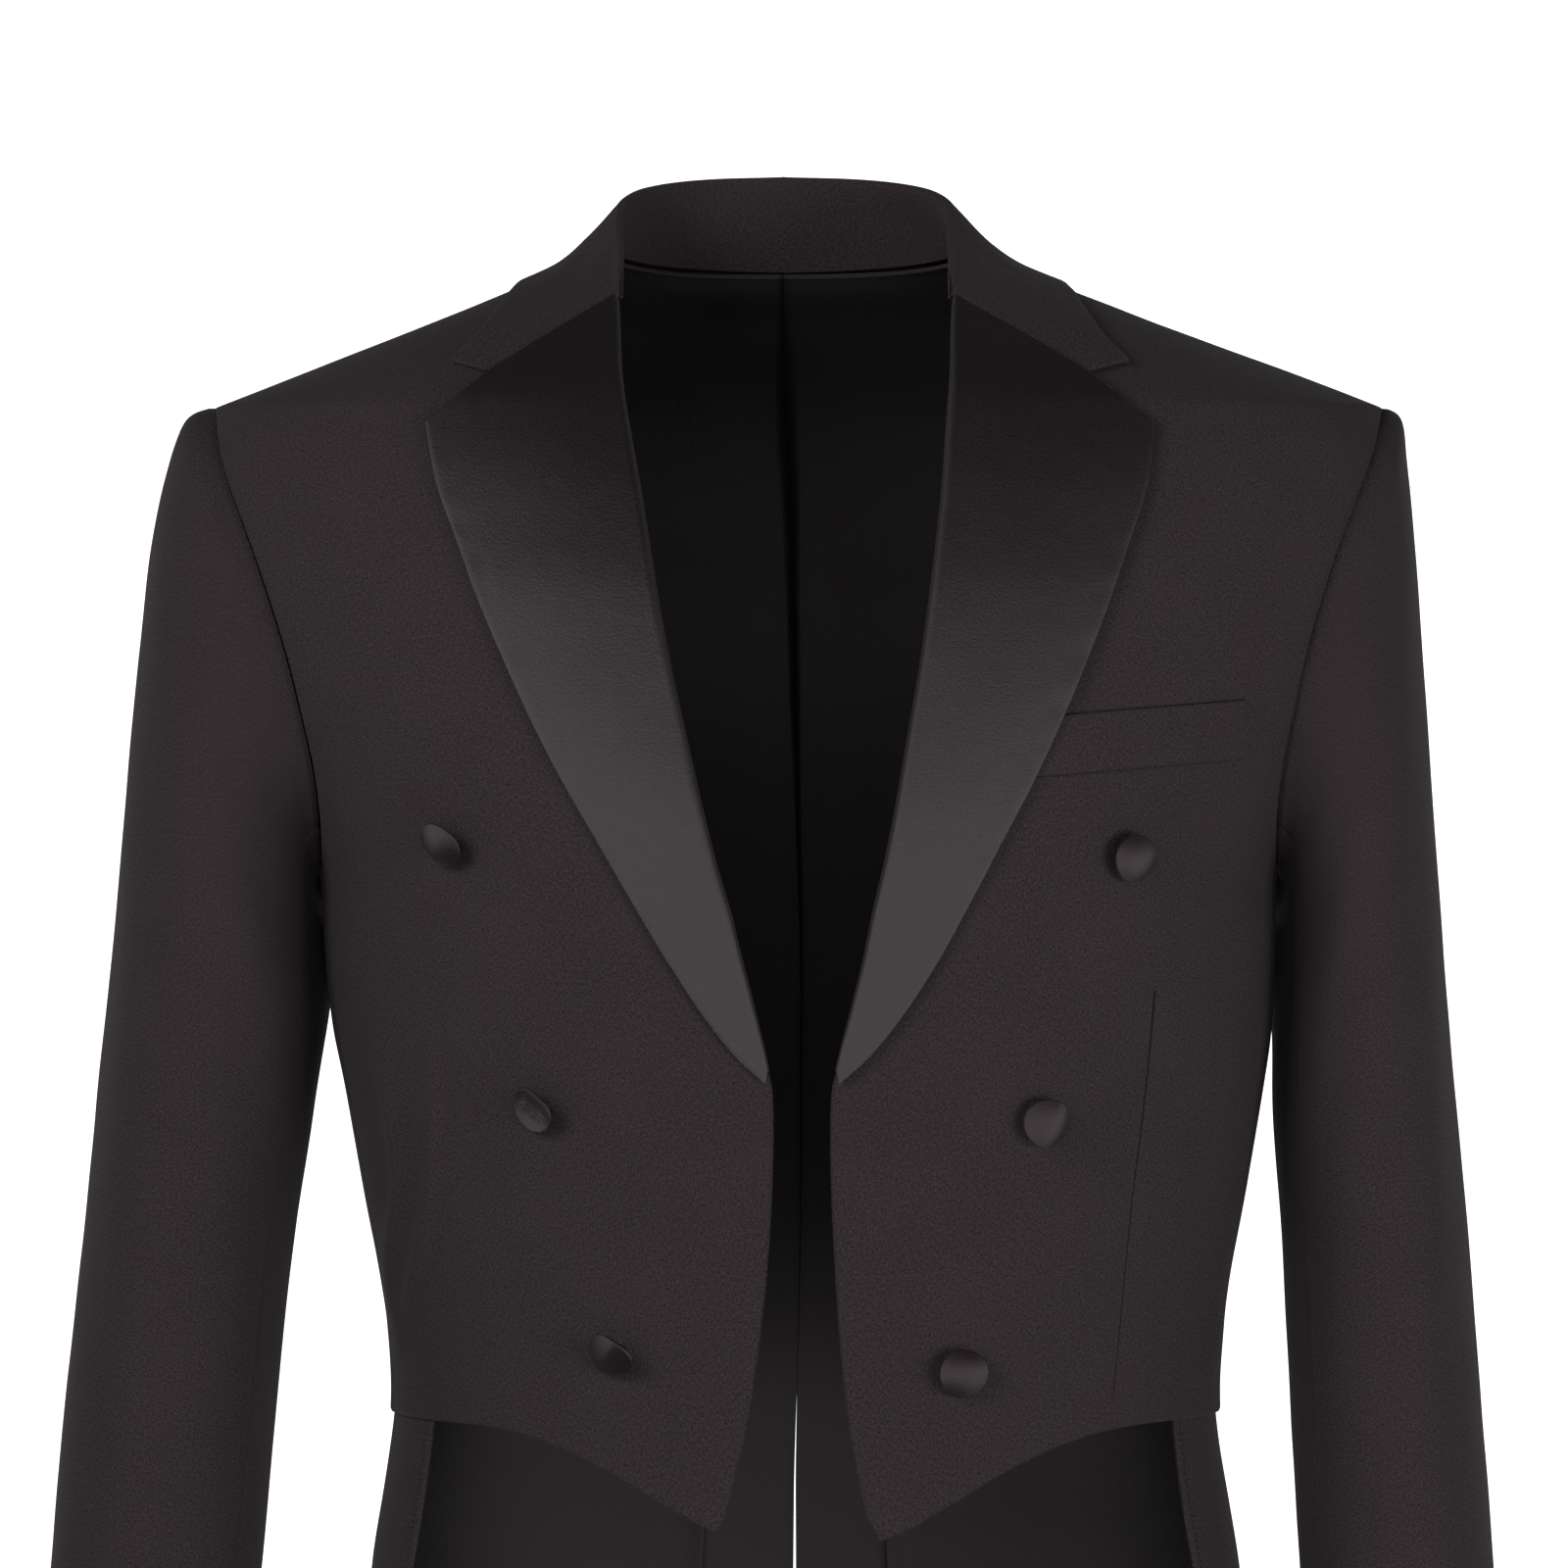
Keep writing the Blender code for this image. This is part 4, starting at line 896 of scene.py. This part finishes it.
def weaveGroup():
    # Uneven threads that run both ways of the cut. Puts out a tone for the colour and a height.
    tree = bpy.data.node_groups.new("wovenThreads", "ShaderNodeTree")
    tree.interface.new_socket("Cut", in_out="INPUT", socket_type="NodeSocketVector")
    tree.interface.new_socket("Threads", in_out="INPUT", socket_type="NodeSocketFloat")
    tree.interface.new_socket("Stretch", in_out="INPUT", socket_type="NodeSocketFloat")
    tree.interface.new_socket("Tone", in_out="OUTPUT", socket_type="NodeSocketFloat")
    tree.interface.new_socket("Height", in_out="OUTPUT", socket_type="NodeSocketFloat")
    start, end = node(tree, "NodeGroupInput"), node(tree, "NodeGroupOutput")
    link = tree.links.new
    runs = []
    for long in ("X", "Y"):
        slower = node(tree, "ShaderNodeCombineXYZ")
        for axis in ("X", "Y", "Z"):
            slower.inputs[axis].default_value = 1.0
        link(start.outputs["Stretch"], slower.inputs[long])
        stretched = node(tree, "ShaderNodeVectorMath", operation="MULTIPLY")
        link(start.outputs["Cut"], stretched.inputs[0])
        link(slower.outputs[0], stretched.inputs[1])
        slubs = node(tree, "ShaderNodeTexNoise", noise_dimensions="3D")
        slubs.inputs["Detail"].default_value = 1.5
        slubs.inputs["Roughness"].default_value = 0.6
        link(stretched.outputs[0], slubs.inputs["Vector"])
        link(start.outputs["Threads"], slubs.inputs["Scale"])
        runs.append(slubs)
    both = node(tree, "ShaderNodeMath", operation="ADD")
    link(runs[0].outputs["Fac"], both.inputs[0])
    link(runs[1].outputs["Fac"], both.inputs[1])
    tone = node(tree, "ShaderNodeMapRange")
    tone.inputs["From Min"].default_value = 0.78
    tone.inputs["From Max"].default_value = 1.22
    link(both.outputs[0], tone.inputs["Value"])
    link(tone.outputs["Result"], end.inputs["Tone"])
    link(tone.outputs["Result"], end.inputs["Height"])
    return tree


weave = weaveGroup()


def clothFinish(name, finish, roughness, sheen, specular, bump, stretch, onObject=False, line=0.0,
                stitches=0.0):
    # line is the width of a darkened line along the marked places: sewn lines, and painted shade along the
    # lapel's roll and the pocket welt's edges; stitches is how many a metre it shows
    material = bpy.data.materials.new(name)
    material.use_nodes = True
    tree, link = material.node_tree, material.node_tree.links.new
    shader = tree.nodes["Principled BSDF"]
    shader.inputs["Roughness"].default_value = roughness
    shader.inputs["Sheen Weight"].default_value = sheen
    shader.inputs["Sheen Roughness"].default_value = 0.45
    shader.inputs["Specular IOR Level"].default_value = specular
    shader.inputs["Specular Tint"].default_value = (1.0, 0.89, 0.95, 1)
    if onObject:
        where = node(tree, "ShaderNodeTexCoord").outputs["Object"]
    else:
        where = node(tree, "ShaderNodeUVMap", uv_map="cut").outputs["UV"]
    threads = node(tree, "ShaderNodeGroup", node_tree=weave)
    threads.inputs["Threads"].default_value = finish["threads"]
    threads.inputs["Stretch"].default_value = stretch
    link(where, threads.inputs["Cut"])
    colour = node(tree, "ShaderNodeMix", data_type="RGBA")
    colour.inputs[6].default_value = (*finish["dark"], 1)
    colour.inputs[7].default_value = (*finish["light"], 1)
    cloudy = node(tree, "ShaderNodeTexNoise")
    cloudy.inputs["Scale"].default_value = 22.0
    link(where, cloudy.inputs["Vector"])
    share = node(tree, "ShaderNodeMath", operation="MULTIPLY_ADD", use_clamp=True)
    link(cloudy.outputs["Fac"], share.inputs[0])
    share.inputs[1].default_value = 0.25
    less = node(tree, "ShaderNodeMath", operation="SUBTRACT")
    link(threads.outputs["Tone"], less.inputs[0])
    less.inputs[1].default_value = 0.125
    link(less.outputs[0], share.inputs[2])
    link(share.outputs[0], colour.inputs[0])
    tint, height = colour.outputs[2], threads.outputs["Height"]
    if line:
        # the marked lines are darkened in colour: sewn lines, and painted shade and shadow where a piece marks
        # its shaded edges
        gap = node(tree, "ShaderNodeAttribute", attribute_name="seamAndShadeGap")
        size = node(tree, "ShaderNodeMath", operation="ABSOLUTE")
        link(gap.outputs["Fac"], size.inputs[0])
        sewn = node(tree, "ShaderNodeMapRange", interpolation_type="SMOOTHSTEP")
        sewn.inputs["From Max"].default_value = line
        sewn.inputs["To Min"].default_value = 1.0
        sewn.inputs["To Max"].default_value = 0.0
        link(size.outputs[0], sewn.inputs["Value"])
        mask = sewn.outputs["Result"]
        if stitches:
            parts = node(tree, "ShaderNodeSeparateXYZ")
            link(where, parts.inputs[0])
            run = node(tree, "ShaderNodeMath", operation="MULTIPLY")
            link(parts.outputs["Y"], run.inputs[0])
            run.inputs[1].default_value = stitches * 2 * pi
            dash = node(tree, "ShaderNodeMath", operation="SINE")
            link(run.outputs[0], dash.inputs[0])
            shown = node(tree, "ShaderNodeMath", operation="MULTIPLY_ADD", use_clamp=True)
            link(dash.outputs[0], shown.inputs[0])
            shown.inputs[1].default_value = 1.5
            shown.inputs[2].default_value = 0.6
            dashed = node(tree, "ShaderNodeMath", operation="MULTIPLY")
            link(mask, dashed.inputs[0])
            link(shown.outputs[0], dashed.inputs[1])
            mask = dashed.outputs[0]
        darker = node(tree, "ShaderNodeMix", data_type="RGBA")
        darker.inputs[7].default_value = (0.0022, 0.0017, 0.0019, 1)
        link(mask, darker.inputs[0])
        link(tint, darker.inputs[6])
        tint = darker.outputs[2]
        duller = node(tree, "ShaderNodeMapRange")
        duller.inputs["To Min"].default_value = roughness
        duller.inputs["To Max"].default_value = 1.0
        link(mask, duller.inputs["Value"])
        link(duller.outputs["Result"], shader.inputs["Roughness"])
        sunk = node(tree, "ShaderNodeMath", operation="MULTIPLY_ADD")
        link(mask, sunk.inputs[0])
        sunk.inputs[1].default_value = -0.5
        link(height, sunk.inputs[2])
        height = sunk.outputs[0]
    link(tint, shader.inputs["Base Color"])
    bumps = node(tree, "ShaderNodeBump")
    bumps.inputs["Strength"].default_value = bump
    bumps.inputs["Distance"].default_value = 0.00025
    link(height, bumps.inputs["Height"])
    link(bumps.outputs["Normal"], shader.inputs["Normal"])
    return material


# its line darkens the dart's stitched line, and paints shadow along the pocket welt's edges
wool = clothFinish("blackWool", finishes["wool"], 0.95, 0.02, 0.08, 0.28, 0.40, line=0.0008)
stitchedWool = clothFinish("stitchedWool", finishes["wool"], 0.95, 0.02, 0.08, 0.28, 0.40, line=0.0007,
                           stitches=360.0)
# its line darkens the satin along the lapel's roll: painted shade
satin = clothFinish("blackSatin", finishes["satin"], 0.35, 0.03, 0.52, 0.42, 0.30, line=0.0011)
buttonSatin = clothFinish("buttonSatin", finishes["button"], 0.38, 0.03, 0.38, 0.20, 0.35, onObject=True)
lining = clothFinish("blackLining", finishes["lining"], 0.50, 0.0, 0.20, 0.2, 0.3)
print("coat: materials made")

flats = {  # the flat cut of what shows of each piece: width, length, area, and what it hangs from or lies on
    "front": (0.230, 0.515, 0.0980, ["backCloth_"]),
    "side_body": (0.195, 0.245, 0.0445, ["frontCloth_", "backCloth_"]),
    "back": (0.245, 1.105, 0.1060, ["collarCloth"]),
    "tail": (0.258, 0.590, 0.1100, ["frontCloth_", "sideBodyCloth_"]),
    "lapel": (0.128, 0.350, 0.0256, ["frontCloth_"]),
    "under_sleeve": (0.155, 0.480, 0.0505, ["frontCloth_", "sideBodyCloth_"]),
    "top_sleeve": (0.290, 0.655, 0.1290, ["frontCloth_", "backCloth_"]),
    "collar": (0.118, 0.330, 0.0307, ["backCloth_left", "backCloth_right"]),
    "breast_welt": (0.107, 0.025, 0.0025, ["frontCloth_left"]),
}
cloths = {}  # each piece with its slot
for label, side in (("left", 1), ("right", -1)):
    cloths["front_" + label] = (frontPanel(label, side), "wool")
    cloths["side_body_" + label] = (sideBodyPanel(label, side), "wool")
    cloths["back_" + label] = (backPanel(label, side), "wool")
    cloths["tail_" + label] = (tailPanel(label, side), "wool")
    cloths["lapel_" + label] = (lapelPiece(label, side), "satin")
    seamAt = cut["sleeveSeamStation"]
    cloths["under_sleeve_" + label] = (
        sleevePiece("underSleeveCloth_" + label, seamAt, 255.8, 60, side, "under_sleeve_" + label), "wool")
    cloths["top_sleeve_" + label] = (
        sleevePiece("topSleeveCloth_" + label, -104.2, seamAt, 130, side, "top_sleeve_" + label), "wool")
    print("coat: " + label + " side sewn")
cloths["collar"] = (collarPiece(), "wool")
cloths["breast_welt"] = (weltPiece(), "wool")
for key, (piece, slotName) in cloths.items():
    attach(piece, "root")
    kind, _, label = key.rpartition("_")
    if label not in ("left", "right"):
        kind = key
    width, length, area, holders = flats[kind]
    [name + label if name.endswith("_") else name for name in holders]
sewButtons()
print("coat: collar, pocket and buttons sewn")

studio = {
    "cameraPlace": (-0.0032, -3.5, -0.225),
    "lens": 36 * 3.5 / 0.648,
    "walls": 1.55,               # the pale walls round the coat
    "dark": 0.02,                # and the ends that the light falls away to
    "upward": (0.15, 0.68),      # from which height to which it falls away, overhead and underfoot
    "downward": (-0.52, -1.00),
    "lean": (0.20, 0.0, 1.0),    # it falls away sooner to the right
    "behind": (-0.10, 0.50, 0.35),    # and behind the coat, but for the backdrop
    "backdrop": (0.955, 0.985),
    "floor": -1.50,              # under the feet of a wearer, out of the camera's sight
    "floorGlow": 1.0,
}
camera = bpy.data.objects.new("camera", bpy.data.cameras.new("camera"))
camera.data.sensor_width = 36
camera.data.lens = studio["lens"]
camera.data.clip_end = 60
camera.location = studio["cameraPlace"]
camera.rotation_euler = (pi / 2, 0, 0)
bpy.context.scene.collection.objects.link(camera)
bpy.context.scene.camera = camera

floorMesh = bmesh.new()
bmesh.ops.create_grid(floorMesh, x_segments=2, y_segments=2, size=8)
bmesh.ops.translate(floorMesh, verts=floorMesh.verts[:], vec=(0, 0, studio["floor"]))
floorData = bpy.data.meshes.new("floor")
floorMesh.to_mesh(floorData)
floorMesh.free()
floor = bpy.data.objects.new("floor", floorData)
bpy.context.scene.collection.objects.link(floor)
floor.visible_diffuse = False    # it would light the buttons and the hem from below
floor.visible_glossy = False
paleFloor = bpy.data.materials.new("paleFloor")
paleFloor.use_nodes = True
floorShader = paleFloor.node_tree.nodes["Principled BSDF"]
floorShader.inputs["Base Color"].default_value = (0.86, 0.86, 0.86, 1)
floorShader.inputs["Roughness"].default_value = 0.8
floorShader.inputs["Emission Color"].default_value = (1, 1, 1, 1)
floorShader.inputs["Emission Strength"].default_value = studio["floorGlow"]
floorData.materials.append(paleFloor)

world = bpy.data.worlds.new("studio")
bpy.context.scene.world = world
world.use_nodes = True
skyTree = world.node_tree
skyLink = skyTree.links.new
view = node(skyTree, "ShaderNodeTexCoord")
leaning = node(skyTree, "ShaderNodeVectorMath", operation="DOT_PRODUCT")
skyLink(view.outputs["Generated"], leaning.inputs[0])
leaning.inputs[1].default_value = studio["lean"]
ways = node(skyTree, "ShaderNodeSeparateXYZ")
skyLink(view.outputs["Generated"], ways.inputs[0])
shares = []
for way in ("upward", "downward"):
    fade = node(skyTree, "ShaderNodeMapRange", interpolation_type="SMOOTHSTEP")
    fade.inputs["From Min"].default_value, fade.inputs["From Max"].default_value = studio[way]
    fade.inputs["To Min"].default_value = 1.0
    fade.inputs["To Max"].default_value = studio["dark"]
    skyLink(leaning.outputs["Value"], fade.inputs["Value"])
    shares.append(fade.outputs["Result"])
least = node(skyTree, "ShaderNodeMath", operation="MINIMUM")
skyLink(shares[0], least.inputs[0])
skyLink(shares[1], least.inputs[1])
behind = node(skyTree, "ShaderNodeMapRange", interpolation_type="SMOOTHSTEP")
behind.inputs["From Min"].default_value, behind.inputs["From Max"].default_value = studio["behind"][:2]
behind.inputs["To Min"].default_value, behind.inputs["To Max"].default_value = 1.0, studio["behind"][2]
skyLink(ways.outputs["Y"], behind.inputs["Value"])
room = node(skyTree, "ShaderNodeMath", operation="MULTIPLY")
skyLink(least.outputs[0], room.inputs[0])
skyLink(behind.outputs["Result"], room.inputs[1])
backdrop = node(skyTree, "ShaderNodeMapRange", interpolation_type="SMOOTHSTEP")
backdrop.inputs["From Min"].default_value, backdrop.inputs["From Max"].default_value = studio["backdrop"]
skyLink(ways.outputs["Y"], backdrop.inputs["Value"])
most = node(skyTree, "ShaderNodeMath", operation="MAXIMUM")
skyLink(room.outputs[0], most.inputs[0])
skyLink(backdrop.outputs["Result"], most.inputs[1])
glow = node(skyTree, "ShaderNodeMath", operation="MULTIPLY")
glow.inputs[1].default_value = studio["walls"]
skyLink(most.outputs[0], glow.inputs[0])
skyLink(glow.outputs[0], skyTree.nodes["Background"].inputs["Strength"])
skyTree.nodes["Background"].inputs["Color"].default_value = (1, 0.995, 0.99, 1)


def softLight(name, place, aim, size, power):
    data = bpy.data.lights.new(name, "AREA")
    data.shape = "SQUARE"
    data.size = size
    data.energy = power
    light = bpy.data.objects.new(name, data)
    light.location = place
    light.rotation_euler = (Vector(aim) - Vector(place)).to_track_quat("-Z", "Y").to_euler()
    light.visible_glossy = False
    light.visible_camera = False
    bpy.context.scene.collection.objects.link(light)


softLight("key", (-1.00, -1.20, 0.30), (-0.12, 0, -0.12), 0.7, 33)
softLight("fill", (1.10, -1.25, -0.55), (0.14, 0, -0.22), 0.7, 32)
softLight("rearLeft", (1.40, 2.00, -0.95), (0, 0, -0.45), 1.0, 38)
softLight("rearRight", (-1.40, 2.00, -0.95), (0, 0, -0.45), 1.0, 38)
bpy.context.scene.view_settings.view_transform = "Standard"
print("coat: studio lit")
